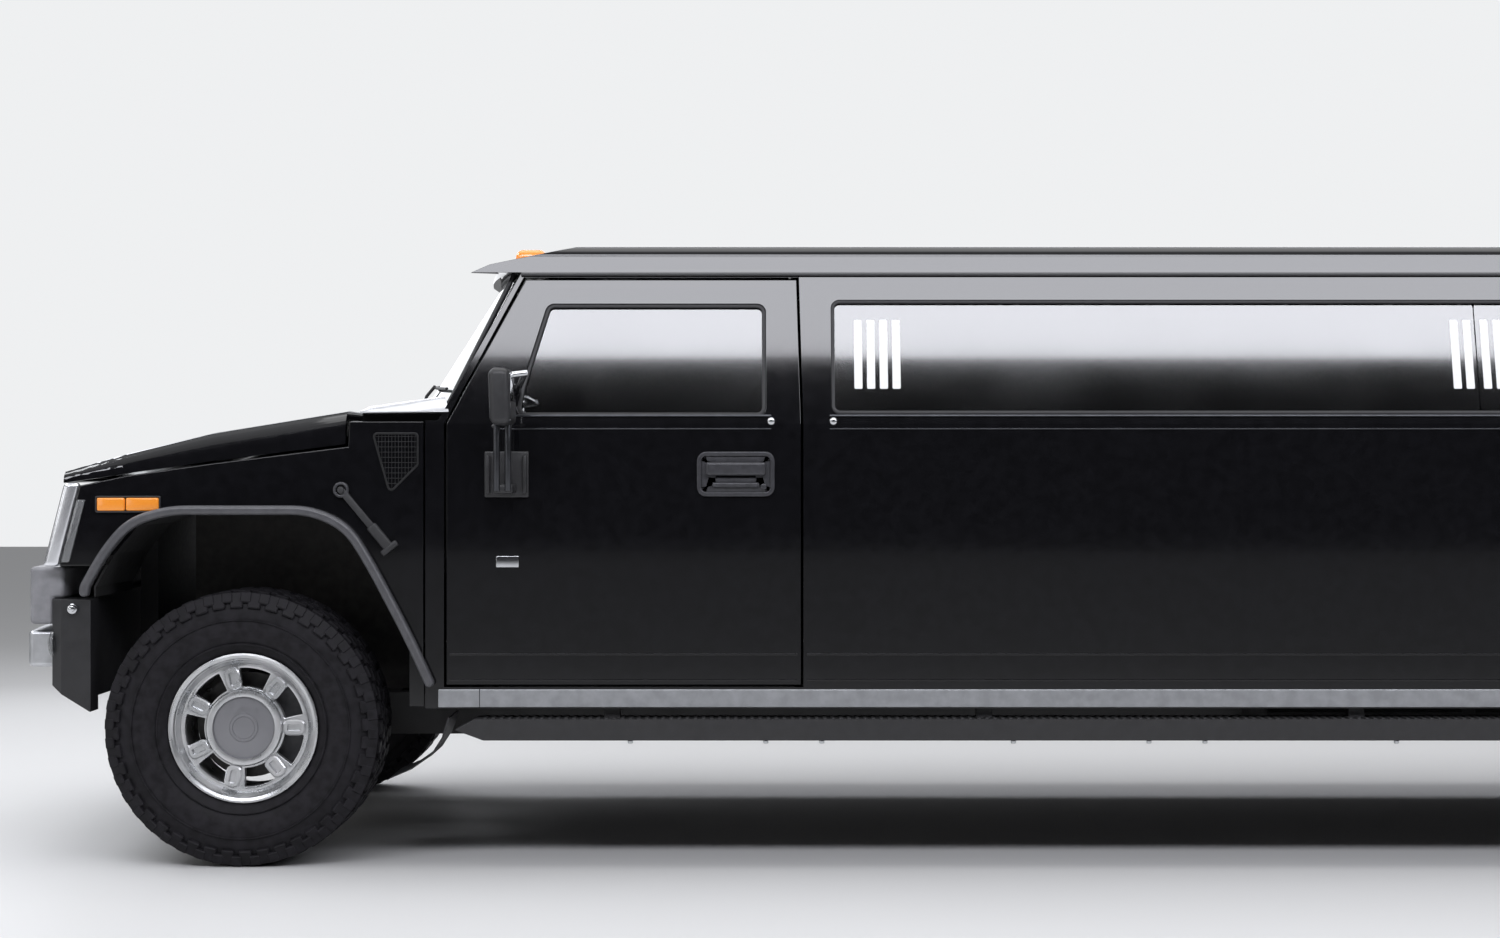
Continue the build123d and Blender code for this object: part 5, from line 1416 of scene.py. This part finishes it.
for place, axle_x, side in wheel_places:
    disc = smoothed(spun_piece("brake_disc_" + place, disc_section, 64), 40)
    caliper = spun_piece("brake_caliper_" + place, caliper_section, 72)
    bpy.ops.object.mode_set(mode="EDIT")
    for turn in (35, 145):
        bpy.ops.mesh.select_all(action="SELECT")
        cut = Vector((math.sin(math.radians(turn)), 0, math.cos(math.radians(turn))))
        sign = 1 if turn > 90 else -1
        bpy.ops.mesh.bisect(plane_co=(0, 0, 0), plane_no=(sign * cut.z, 0, -sign * cut.x), clear_outer=True,
                            use_fill=True)
    bpy.ops.object.mode_set(mode="OBJECT")
    matrix = Matrix.Translation((axle_x, side * (track_half - 0.012), hub_height))
    if side < 0:
        matrix = matrix @ Matrix.Rotation(math.pi, 4, "X")
    disc.data.transform(matrix)
    caliper.data.transform(matrix)
    dressed(disc, "wheel_" + place, brake_iron)
    steered = "knuckle_" + place.split("_")[1] if axle_x < 0 else "body"
    dressed(smoothed(caliper, 40), steered, caliper_grey)

frame_black = surface("frame_black", (0.018, 0.018, 0.019), 0.46, spread=0.2, scale=25.0, grain=0.25,
                      grain_scale=500.0, film=0.5, film_high=0.8)
cast_iron = surface("cast_iron", (0.050, 0.047, 0.045), 0.55, 0.6, spread=0.25, scale=30.0, grain=0.5,
                    grain_scale=350.0, film=0.5, film_high=0.7)
exhaust_steel = surface("exhaust_steel", (0.36, 0.33, 0.30), 0.38, 0.9, spread=0.25, scale=12.0, grain=0.1,
                        film=0.3, film_high=0.6)
tank_plastic = surface("tank_plastic", (0.020, 0.020, 0.021), 0.55, spread=0.2, scale=20.0, grain=0.2,
                       grain_scale=700.0, film=0.5, film_high=0.6)
liner_felt = surface("liner_plastic", (0.012, 0.012, 0.0125), 0.75, spread=0.2, scale=40.0, grain=0.5,
                     grain_scale=300.0, film=0.35)
undercoat = surface("floor_undercoat", (0.020, 0.019, 0.018), 0.75, spread=0.25, scale=30.0, grain=0.5,
                    grain_scale=250.0, film=0.4, film_high=0.7)
for node in ("front_suspension", "knuckle_left", "knuckle_right", "rear_axle", "engine", "driveline"):
    finish_node(node, cast_iron)
finish_node("radiator", mesh_black)
finish_node("exhaust", exhaust_steel)
finish_node("arch_liners", liner_felt)
finish_node("floor_pan", undercoat)
dressed_node("chassis_frame", "body", frame_black, 0.005)
dressed_node("fuel_tank", "body", tank_plastic, 0.010)
straps = [box_piece("strap", (0.045, 0.404, 0.118), (x, -0.650, 0.443), 0.006, 3)
          for x in (-0.62, -0.25, 0.12)]
dressed(joined("fuel_tank_straps", straps), "body", frame_black)
coils = []
coil_turns, coil_steps, coil_radius = 6, 14, 0.062
coil_low_z, coil_height, coil_y = 0.500, 0.140, 0.415
for side in (-1, 1):
    coil = []
    for step in range(coil_steps * coil_turns + 1):
        angle = step * math.tau / coil_steps
        x = rear_axle_x + coil_radius * math.cos(angle)
        y = side * coil_y + coil_radius * math.sin(angle)
        coil.append((x, y, coil_low_z + coil_height * step / (coil_steps * coil_turns)))
    coils.append(tube("coil", coil, 0.0075, resolution=1))
dressed(joined("rear_springs", coils), "body", frame_black)

# Rear end: red and clear tail lamps, a sealed rear window with its wiper, a handle over a blank plate, a
# moulded bumper with a ribbed step, and a fuel flap on the left quarter.
tail_red, tail_shader = new_material("tail_red", (0.55, 0.010, 0.012), 0.15, extras={
    "Transmission Weight": 0.3,
    "Coat Weight": 0.7,
    "Emission Color": (1.0, 0.02, 0.02, 1),
    "Emission Strength": 0.15,
})
tail_tree, tail_noise = linked_noise(tail_red, 240.0, 1.0, stretch=(1, 4, 1))
blend_colours(tail_tree, tail_noise.outputs["Fac"], tail_shader.inputs["Base Color"],
              (0.42, 0.006, 0.008), (0.65, 0.02, 0.02))
bumped(tail_tree, tail_noise.outputs["Fac"], tail_shader, 0.3, 0.001)
rear_face_x = 4.840
red_lenses, clear_lenses, lamp_frames = [], [], []
# Columns: foot of the lens, its top, the lenses that it joins
lens_rows = ((1.100, 1.278, red_lenses), (1.045, 1.094, clear_lenses), (0.962, 1.039, red_lenses))
for y in (-0.870, 0.870):
    for low, high, holder in lens_rows:
        lens_place = (rear_face_x + 0.0065, y, (low + high) / 2)
        holder.append(smoothed(box_piece("lens", (0.012, 0.078, high - low), lens_place, 0.004, 3), 40))
    housing = box_piece("housing", (0.010, 0.090, 0.330), (rear_face_x + 0.004, y, 1.120), 0.004, 3)
    lamp_frames.append(smoothed(housing, 40))
dressed(joined("tail_lamp_red", red_lenses), "body", tail_red, ["tail_lamps"])
dressed(joined("tail_lamp_clear", clear_lenses), "body", lens_clear)
dressed(joined("tail_lamp_housings", lamp_frames), "body", moulded)


def rear_place(y, z, height):
    """Places (y, z, height) on the rear face."""
    return (rear_face_x + height, y, z)


glass_outline = rounded_outline(((-0.700, 1.380), (0.700, 1.380), (0.650, 1.790), (-0.650, 1.790)), 0.03, 4)
rear_seal = ring_piece("rear_window_seal", glass_outline, 0.016, 0.012,
                       lambda y, z, height: rear_place(y, z, height - 0.012), 0.003)
dressed(rear_seal, "tailgate", seal_rubber)
blade = [(rear_face_x + 0.010, -0.30 + 0.06 * step, 1.425 + 0.002 * step) for step in range(9)]
wiper = tube("blade", blade, 0.006, resolution=1)
wiper_arm = tube("arm", [(rear_face_x + 0.012, 0.0, 1.352), (rear_face_x + 0.020, 0.0, 1.380),
                         (rear_face_x + 0.014, -0.06, 1.435)], 0.007, resolution=1)
pivot = box_piece("pivot", (0.030, 0.070, 0.040), (rear_face_x + 0.010, 0.0, 1.350), 0.008, 3)
dressed(smoothed(joined("rear_wiper", [wiper, wiper_arm, pivot]), 40), "tailgate", moulded)
grip_z = 1.130
grip_bar = box_piece("grip", (0.026, 0.300, 0.034), (rear_face_x + 0.020, 0, grip_z), 0.010, 3)
feet = [box_piece("foot", (0.024, 0.034, 0.044), (rear_face_x + 0.010, y, grip_z), 0.008, 3)
        for y in (-0.145, 0.145)]
key = rod("key", (rear_face_x - 0.002, 0.200, grip_z), (rear_face_x + 0.006, 0.200, grip_z), 0.012, 24)
handle = smoothed(joined("tailgate_handle", [grip_bar, *feet, key]), 40)
dressed(handle, "tailgate", black_casting)
plate_white = surface("plate_white", (0.72, 0.72, 0.70), 0.4, spread=0.04, scale=40.0)
plate = box_piece("number_plate_blank", (0.003, 0.520, 0.112), (rear_face_x + 0.012, 0, 0.900), 0.001, 2)
dressed(plate, "tailgate", plate_white)
tray_outline = rounded_outline(corners_about(0.0, 0.900, 0.560, 0.150), 0.012, 4)
tray = ring_piece("number_plate_frame", tray_outline, 0.022, 0.014, rear_place, 0.003)
dressed(tray, "tailgate", moulded)
dressed_node("bumper_rear", "body", bumper_plastic, 0.012)
step_ribs = [box_piece("rib", (0.006, 1.20, 0.006), (4.858 + 0.014 * index, 0, 0.696), 0.0015, 2)
             for index in range(5)]
dressed(joined("rear_step_pad", step_ribs), "body", moulded)
flap_x, flap_z = 4.690, 1.180
left_wall = flat_place(-1, body_half_width)
flap_outline = rounded_outline(corners_about(flap_x, flap_z, 0.165, 0.165), 0.022, 5)
flap_ring = ring_piece("ring", flap_outline, 0.004, 0.0015, left_wall, 0.0006)
flap_lid = box_piece("lid", (0.150, 0.005, 0.150), left_wall(flap_x, flap_z, 0.0015), 0.002, 3)
dressed(smoothed(joined("fuel_flap", [flap_ring, flap_lid]), 40), "body", paint)

# Cabin seats: leather cushions blown up as cloth over rounded blocks, with sewn channels and welted edges,
# on dark bases. Two seats face forward, the saloon bench follows the left wall, and a rear bench closes the
# saloon in front of the tailgate.
leather = surface("seat_leather", (0.060, 0.054, 0.050), 0.46, spread=0.20, scale=7.0, grain=0.35,
                  grain_scale=380.0)
welt_leather = surface("welt_leather", (0.110, 0.100, 0.092), 0.40, spread=0.10, scale=20.0, grain=0.20,
                       grain_scale=500.0)
base_vinyl = surface("seat_base_vinyl", (0.022, 0.021, 0.021), 0.62, spread=0.25, scale=12.0, grain=0.40,
                     grain_scale=700.0)
pressed_frames = 20


def stuffed(name, size, cap, lines, coarse):
    """A cushion about the origin, face up: a remeshed block swollen by at most cap, then its channels."""
    length, width, thickness = size
    core_height = thickness - 1.7 * cap
    block = box_piece(name, (length - cap, width - cap, core_height), (0, 0, 0), core_height * 0.34, 4)
    apply_modifier(block, "REMESH", mode="VOXEL", voxel_size=coarse)
    start = [vertex.co.copy() for vertex in block.data.vertices]
    cloth = block.modifiers.new("swell", "CLOTH")
    cloth.settings.quality = 4
    cloth.settings.use_pressure = True
    cloth.settings.uniform_pressure_force = 4.0
    cloth.settings.effector_weights.gravity = 0.0
    cloth.point_cache.frame_start = 1
    cloth.point_cache.frame_end = pressed_frames
    for step in range(1, pressed_frames + 1):
        bpy.context.scene.frame_set(step)
    swollen = block.evaluated_get(bpy.context.evaluated_depsgraph_get())
    places = [vertex.co.copy() for vertex in swollen.data.vertices]
    block.modifiers.remove(cloth)
    bpy.context.scene.frame_set(1)
    for vertex, first, last in zip(block.data.vertices, start, places):
        move = last - first
        vertex.co = first + move * min(1.0, cap / max(move.length, 1e-6))
    apply_modifier(block, "SUBSURF", levels=1, render_levels=1)
    for vertex in block.data.vertices:
        if vertex.co.z > 0.2 * thickness:
            edge = max(0.0, 1 - (2.1 * vertex.co.y / width) ** 6)
            dips = sum(math.exp(-((vertex.co.x - line) / 0.011) ** 2) for line in lines)
            vertex.co.z -= 0.008 * edge * dips
    return smoothed(block, 75)


def welt(length, width, rise):
    """A sewn cord round a cushion, a little inside its edge."""
    outline = rounded_outline(corners_about(0.0, 0.0, length, width), 0.045, 6)
    return tube("welt", [(x, y, rise) for x, y in outline], 0.0045, cyclic=True, resolution=1)


# Columns: size, how far it may swell, lines of the sewn channels, voxel
cushion_kinds = {
    "front_cushion": ((0.490, 0.480, 0.130), 0.022, (-0.12, 0.0, 0.12), 0.020),
    "front_back": ((0.580, 0.470, 0.115), 0.022, (-0.18, -0.06, 0.06, 0.18), 0.020),
    "headrest": ((0.170, 0.260, 0.090), 0.014, (), 0.016),
    "saloon_cushion": ((0.588, 0.470, 0.112), 0.020, (-0.147, 0.0, 0.147), 0.024),
    "saloon_back": ((0.588, 0.390, 0.080), 0.016, (-0.147, 0.0, 0.147), 0.024),
    "rear_cushion": ((0.480, 0.580, 0.115), 0.020, (-0.12, 0.0, 0.12), 0.024),
    "rear_back": ((0.300, 0.580, 0.085), 0.016, (-0.07, 0.07), 0.024),
}
cushion_masters = {}
for kind, (size, cap, lines, coarse) in cushion_kinds.items():
    pad = finished(stuffed(kind, size, cap, lines, coarse), leather)
    cord = finished(welt(size[0] * 0.90, size[1] * 0.90, size[2] * 0.30), welt_leather)
    cushion_masters[kind] = joined(kind, [pad, cord])


def seat_pad(kind, name, place, turn_axis, degrees):
    """A copy of a cushion at its place, on the body."""
    matrix = Matrix.Translation(place) @ Matrix.Rotation(math.radians(degrees), 4, turn_axis)
    piece = copied(cushion_masters[kind], name, matrix)
    dressed(piece, "body")


front_seat_y, rear_seat_y = 0.430, 0.295
for side, side_name in car_sides:
    y, rear_y = side * front_seat_y, side * rear_seat_y
    seat_pad("front_cushion", "front_cushion_" + side_name, (-2.850, y, 0.968), "Y", 3.5)
    seat_pad("front_back", "front_backrest_" + side_name, (-2.545, y, 1.300), "Y", -78.2)
    seat_pad("headrest", "headrest_" + side_name, (-2.448, y, 1.545), "Y", -80.0)
    seat_pad("rear_cushion", "rear_cushion_" + side_name, (4.310, rear_y, 1.076), "Y", 2.4)
    seat_pad("rear_back", "rear_backrest_" + side_name, (4.652, rear_y, 1.270), "Y", -71.6)
front_parts = []
for y in (-front_seat_y, front_seat_y):
    front_parts.append(box_piece("pedestal", (0.430, 0.400, 0.345), (-2.775, y, 0.7225), 0.020, 3))
    shell = box_piece("shell", (0.060, 0.450, 0.580), (0, 0, 0), 0.020, 3)
    shell.data.transform(Matrix.Translation((-2.470, y, 1.250)) @ Matrix.Rotation(math.radians(9), 4, "Y"))
    front_parts.append(shell)
    for across in (-0.160, 0.160):
        front_parts.append(box_piece("runner", (0.500, 0.030, 0.022), (-2.780, y + across, 0.552), 0.004, 2))
    for across in (-0.060, 0.060):
        front_parts.append(rod("post", (-2.490, y + across, 1.470), (-2.462, y + across, 1.560), 0.006))
dressed(smoothed(joined("front_seat_frames", front_parts), 40), "body", base_vinyl,
        ["front_seats"])
saloon_front_x, saloon_rear_x, saloon_count = -2.190, 2.632, 8
saloon_step = (saloon_rear_x - saloon_front_x) / saloon_count
for index in range(saloon_count):
    x = saloon_front_x + saloon_step * (index + 0.5)
    seat_pad("saloon_cushion", f"saloon_cushion_{index}", (x, -0.640, 0.912), "X", 3.0)
    seat_pad("saloon_back", f"saloon_backrest_{index}", (x, -0.838, 1.165), "X", -80.5)
saloon_length = saloon_rear_x - saloon_front_x
saloon_middle_x = (saloon_front_x + saloon_rear_x) / 2
saloon_parts = [
    box_piece("plinth", (saloon_length, 0.455, 0.320), (saloon_middle_x, -0.6675, 0.700), 0.012, 2),
    box_piece("plinth", (0.580, 1.180, 0.280), (4.380, 0, 0.880), 0.012, 2),
]
for index in range(saloon_count):
    x = saloon_front_x + saloon_step * (index + 0.5)
    saloon_parts.append(box_piece("panel", (saloon_step - 0.030, 0.012, 0.250), (x, -0.441, 0.700), 0.005, 2))
dressed(smoothed(joined("saloon_bench_base", saloon_parts), 40), "body", base_vinyl,
        ["lounge_seats"])
plinth_light, plinth_shader = new_material("plinth_light", (0.80, 0.84, 0.90), 0.35)
glossed(plinth_light, plinth_shader, 60.0, 0.30, 0.42)
light_strip = box_piece("saloon_light_strip", (saloon_length - 0.040, 0.010, 0.012),
                        (saloon_middle_x, -0.438, 0.566), 0.003, 2)
dressed(light_strip, "body", plinth_light)
for master in cushion_masters.values():
    bpy.data.objects.remove(master)

# Bar: a lacquered wood cabinet along the right wall, with seven doors, bright knobs, a thick top and a bright
# rail in front of it. The partition behind the front seats is of the same wood, with a padded rim.
wood, wood_shader = new_material("bar_wood", (0.09, 0.04, 0.02), 0.22, extras={"Coat Weight": 0.6})
wood_tree, wood_noise = glossed(wood, wood_shader, 3.0, 0.16, 0.28, 6.0, (1.2, 14, 9))
blend_colours(wood_tree, wood_noise.outputs["Fac"], wood_shader.inputs["Base Color"],
              (0.035, 0.014, 0.006), (0.13, 0.060, 0.026))
bumped(wood_tree, wood_noise.outputs["Fac"], wood_shader, 0.08, 0.0006)
bar_middle_x, bar_length, bar_front_y = 0.221, 4.222, 0.580
bar_parts = [
    box_piece("carcass", (bar_length, 0.300, 0.440), (bar_middle_x, 0.748, 0.764), 0.006, 2),
    box_piece("plinth", (bar_length - 0.060, 0.280, 0.040), (bar_middle_x, 0.756, 0.562), 0.004, 2),
    box_piece("top", (bar_length, 0.320, 0.028), (bar_middle_x, 0.740, 1.004), 0.010, 4),
]
knobs = []
door_count = 7
door_step = (bar_length - 0.030) / door_count
door_y, knob_z = bar_front_y + 0.012, 0.880
for index in range(door_count):
    x = bar_middle_x + (index - (door_count - 1) / 2) * door_step
    knob_x = x + 0.200
    bar_parts.append(box_piece("door", (door_step - 0.012, 0.018, 0.370), (x, door_y, 0.775), 0.006, 3))
    knobs.append(rod("knob", (knob_x, door_y - 0.024, knob_z), (knob_x, door_y - 0.008, knob_z), 0.012, 20))
    knobs.append(rod("post", (x, door_y, 1.014), (x, door_y, 1.046), 0.005, 12))
rail_front_x = bar_middle_x - bar_length / 2 + 0.100
rail_rear_x = bar_middle_x + bar_length / 2 - 0.100
knobs.append(rod("rail", (rail_front_x, door_y, 1.050), (rail_rear_x, door_y, 1.050), 0.007, 16))
dressed(smoothed(joined("bar_cabinet", bar_parts), 40), "body", wood, ["bar"])
dressed(joined("bar_rail_and_knobs", knobs), "body", bright_metal)
dressed_node("partition", "body", wood, 0.010)
padded_rim = box_piece("partition_rim", (0.052, 1.780, 0.020), (-2.260, 0, 1.256), 0.009, 4)
dressed(smoothed(padded_rim, 40), "body", leather)

# Dashboard and controls: a grained moulding with a hooded binnacle, two round gauges, air vents and a plain
# dark screen, and a wheel with a leather rim, three spokes and a round pad. A console with the gear lever
# stands between the seats.
dash_plastic = surface("dash_plastic", (0.030, 0.029, 0.029), 0.50, spread=0.15, scale=14.0, grain=0.35,
                       grain_scale=900.0)
dressed_node("dashboard", "body", dash_plastic, 0.006)


def dash_x(z):
    """The dashboard's rear face at a height."""
    return -3.352 + 0.060 * (z - 0.900) / 0.340


gauge_white = surface("gauge_white", (0.55, 0.55, 0.53), 0.40, spread=0.06, scale=60.0)
screen_glass = surface("screen_glass", (0.010, 0.011, 0.013), 0.08, spread=0.10, scale=30.0)
dash_trims, dash_dark, dash_faces, dash_white = [], [], [], []
hood_shell = box_piece("hood", (0.120, 0.360, 0.060), (-3.350, -0.400, 1.275), 0.022, 4)
stack_z, glovebox_z = 1.075, 1.040
stack = box_piece("stack", (0.040, 0.300, 0.270), (dash_x(stack_z), 0.0, stack_z), 0.010, 3)
glovebox = box_piece("glovebox", (0.030, 0.420, 0.170), (dash_x(glovebox_z), 0.480, glovebox_z), 0.008, 3)
console = box_piece("console", (0.660, 0.220, 0.260), (-2.840, 0, 0.672), 0.022, 4)
lever_gate = box_piece("gate", (0.160, 0.110, 0.012), (-3.020, 0, 0.806), 0.004, 2)
dressed(smoothed(joined("dash_shells", [hood_shell, stack, glovebox, console, lever_gate]), 40), "body",
        dash_plastic)
lever_stem = rod("stem", (-3.020, 0, 0.806), (-3.000, 0, 0.900), 0.007)
lever_grip = rod("grip", (-3.002, 0, 0.890), (-2.992, 0, 0.945), 0.019, 24)
dressed(joined("gear_lever", [lever_stem, lever_grip]), "body", leather)
bezel_section = ((-0.004, 0.052), (-0.008, 0.056), (-0.004, 0.060), (0.002, 0.060), (0.002, 0.052))
gauge_z, needle_degrees = 1.205, -118
gauge_x = dash_x(gauge_z) + 0.006
for y in (-0.475, -0.325):
    seat = Matrix.Translation((gauge_x, y, gauge_z)) @ Matrix.Rotation(math.radians(90), 4, "Z")
    bezel = spun_piece("bezel", bezel_section, 40)
    bezel.data.transform(seat)
    dash_trims.append(smoothed(bezel, 50))
    dial = spun_piece("dial", ((0.0, 0.0), (0.0, 0.052), (0.003, 0.052), (0.003, 0.0)), 40)
    dial.data.transform(seat)
    dash_faces.append(dial)
    for mark in range(11):
        turn = math.radians(-130 + 26 * mark)
        place = seat @ Matrix.Rotation(turn, 4, "Y") @ Matrix.Translation((0, -0.001, 0.044))
        tick = box_piece("tick", (0.0022, 0.001, 0.009), (0, 0, 0))
        tick.data.transform(place)
        dash_white.append(tick)
    needle = box_piece("needle", (0.0020, 0.001, 0.034), (0, 0, 0))
    needle.data.transform(seat @ Matrix.Rotation(math.radians(needle_degrees), 4, "Y")
                          @ Matrix.Translation((0, -0.002, 0.015)))
    dash_white.append(needle)
vent_z = 1.200
vent_x = dash_x(vent_z)
for y in (-0.76, -0.08, 0.08, 0.76):
    dash_trims.append(box_piece("vent_frame", (0.014, 0.130, 0.060), (vent_x, y, vent_z), 0.005, 3))
    for index in range(-2, 3):
        blade_place = (vent_x + 0.004, y, vent_z + 0.011 * index)
        dash_dark.append(box_piece("blade", (0.010, 0.112, 0.003), blade_place, 0.001, 1))
stack_x = dash_x(stack_z)
dash_faces.append(box_piece("screen", (0.006, 0.200, 0.100), (stack_x + 0.021, 0.0, 1.105), 0.004, 3))
for y in (-0.060, 0.0, 0.060):
    dash_dark.append(rod("knob", (stack_x + 0.014, y, 1.000), (stack_x + 0.036, y, 1.000), 0.016, 24))
dressed(smoothed(joined("dash_trims", dash_trims), 45), "body", dark_anodised)
dressed(joined("dash_vents_and_knobs", dash_dark), "body", moulded)
dressed(joined("dash_faces", dash_faces), "body", screen_glass)
dressed(joined("gauge_marks", dash_white), "body", gauge_white)
clear_selection()
wheel_middle = Vector((-3.185, -0.400, 1.150))
bpy.ops.mesh.primitive_torus_add(
    major_radius=0.183, minor_radius=0.0125, major_segments=72, minor_segments=14,
)
wheel_parts = [
    smoothed(bpy.context.object, 60),
    smoothed(box_piece("spoke", (0.340, 0.034, 0.014), (0, 0, 0), 0.005, 3), 40),
    smoothed(box_piece("spoke", (0.034, 0.160, 0.014), (0, -0.095, 0), 0.005, 3), 40),
    rod("pad", (0, 0, -0.012), (0, 0, 0.014), 0.060, 48),
    rod("boss", (0, 0, -0.020), (0, 0, 0.0), 0.046, 32),
]
wheel = joined("steering_wheel_dressed", wheel_parts)
tilt = math.radians(25)
wheel.data.transform(Matrix((
    (0, -math.sin(tilt), math.cos(tilt), wheel_middle.x),
    (1, 0, 0, wheel_middle.y),
    (0, math.cos(tilt), math.sin(tilt), wheel_middle.z),
    (0, 0, 0, 1),
)))
dressed(wheel, "steering_wheel", leather, ["steering_wheel"])

# Cabin lining: a short-pile carpet, a stitched vinyl headliner with two light diffusers, a rear-view mirror,
# and a padded card with an armrest on each door.
carpet = surface("carpet", (0.028, 0.027, 0.028), 0.95, spread=0.45, scale=90.0, grain=0.9,
                 grain_scale=1500.0)
lining = surface("headliner_cloth", (0.150, 0.145, 0.140), 0.85, spread=0.08, scale=40.0, grain=0.5,
                 grain_scale=1600.0)
carpet_parts = [
    box_piece("carpet", (6.680, 1.800, 0.006), (-0.125, 0, 0.544), 0.002, 1),
    box_piece("carpet", (0.800, 1.160, 0.006), (4.300, 0, 0.744), 0.002, 1),
]
dressed(joined("cabin_carpet", carpet_parts), "body", carpet)
headliner_z, card_y, rest_length = 1.9235, 0.9255, 0.460
clear_selection()
bpy.ops.mesh.primitive_grid_add(x_subdivisions=48, y_subdivisions=24, size=2)
headliner = bpy.context.object
headliner.name = "headliner"
for vertex in headliner.data.vertices:
    x, across = 0.825 + vertex.co.x * 3.875, vertex.co.y
    vertex.co = (x, across * 0.780, headliner_z + 0.033 * (1 - across ** 2))
apply_modifier(headliner, "SOLIDIFY", thickness=0.006, offset=-1.0)
dressed(smoothed(headliner, 40), "body", lining)
diffusers = [box_piece("diffuser", (5.600, 0.050, 0.012), (1.000, y, headliner_z + 0.010), 0.004, 3)
             for y in (-0.420, 0.420)]
dressed(joined("ceiling_lights", diffusers), "body", plinth_light)
mirror_parts = [box_piece("mirror", (0.024, 0.240, 0.066), (-3.270, 0, 1.790), 0.010, 4),
                rod("stalk", (-3.282, 0, 1.800), (-3.448, 0, 1.826), 0.006)]
dressed(smoothed(joined("rear_view_mirror", mirror_parts), 40), "body", dash_plastic)
for side, side_name in car_sides:
    for row in ("front", "rear"):
        name = "door_" + row + "_" + side_name
        reach = [vertex.co.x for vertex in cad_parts[name].data.vertices]
        first, last = min(reach) + 0.070, min(max(reach) - 0.060, 3.280)
        middle = (first + last) / 2
        card = box_piece("card", (last - first, 0.008, 0.700), (middle, side * card_y, 0.990), 0.003, 2)
        pocket_place = (middle, side * (card_y - 0.012), 0.740)
        pocket = box_piece("pocket", (0.480, 0.026, 0.150), pocket_place, 0.010, 3)
        dressed(smoothed(joined(name + "_card", [card, pocket]), 40), name, dash_plastic)
        rest_place = (middle, side * (card_y - 0.024), 1.060)
        rest = box_piece(name + "_armrest", (rest_length, 0.044, 0.070), rest_place, 0.020, 5)
        for vertex in rest.data.vertices:
            vertex.co.z += 0.010 * math.cos((vertex.co.x - middle) * math.pi / rest_length)
        dressed(smoothed(rest, 60), name, leather)
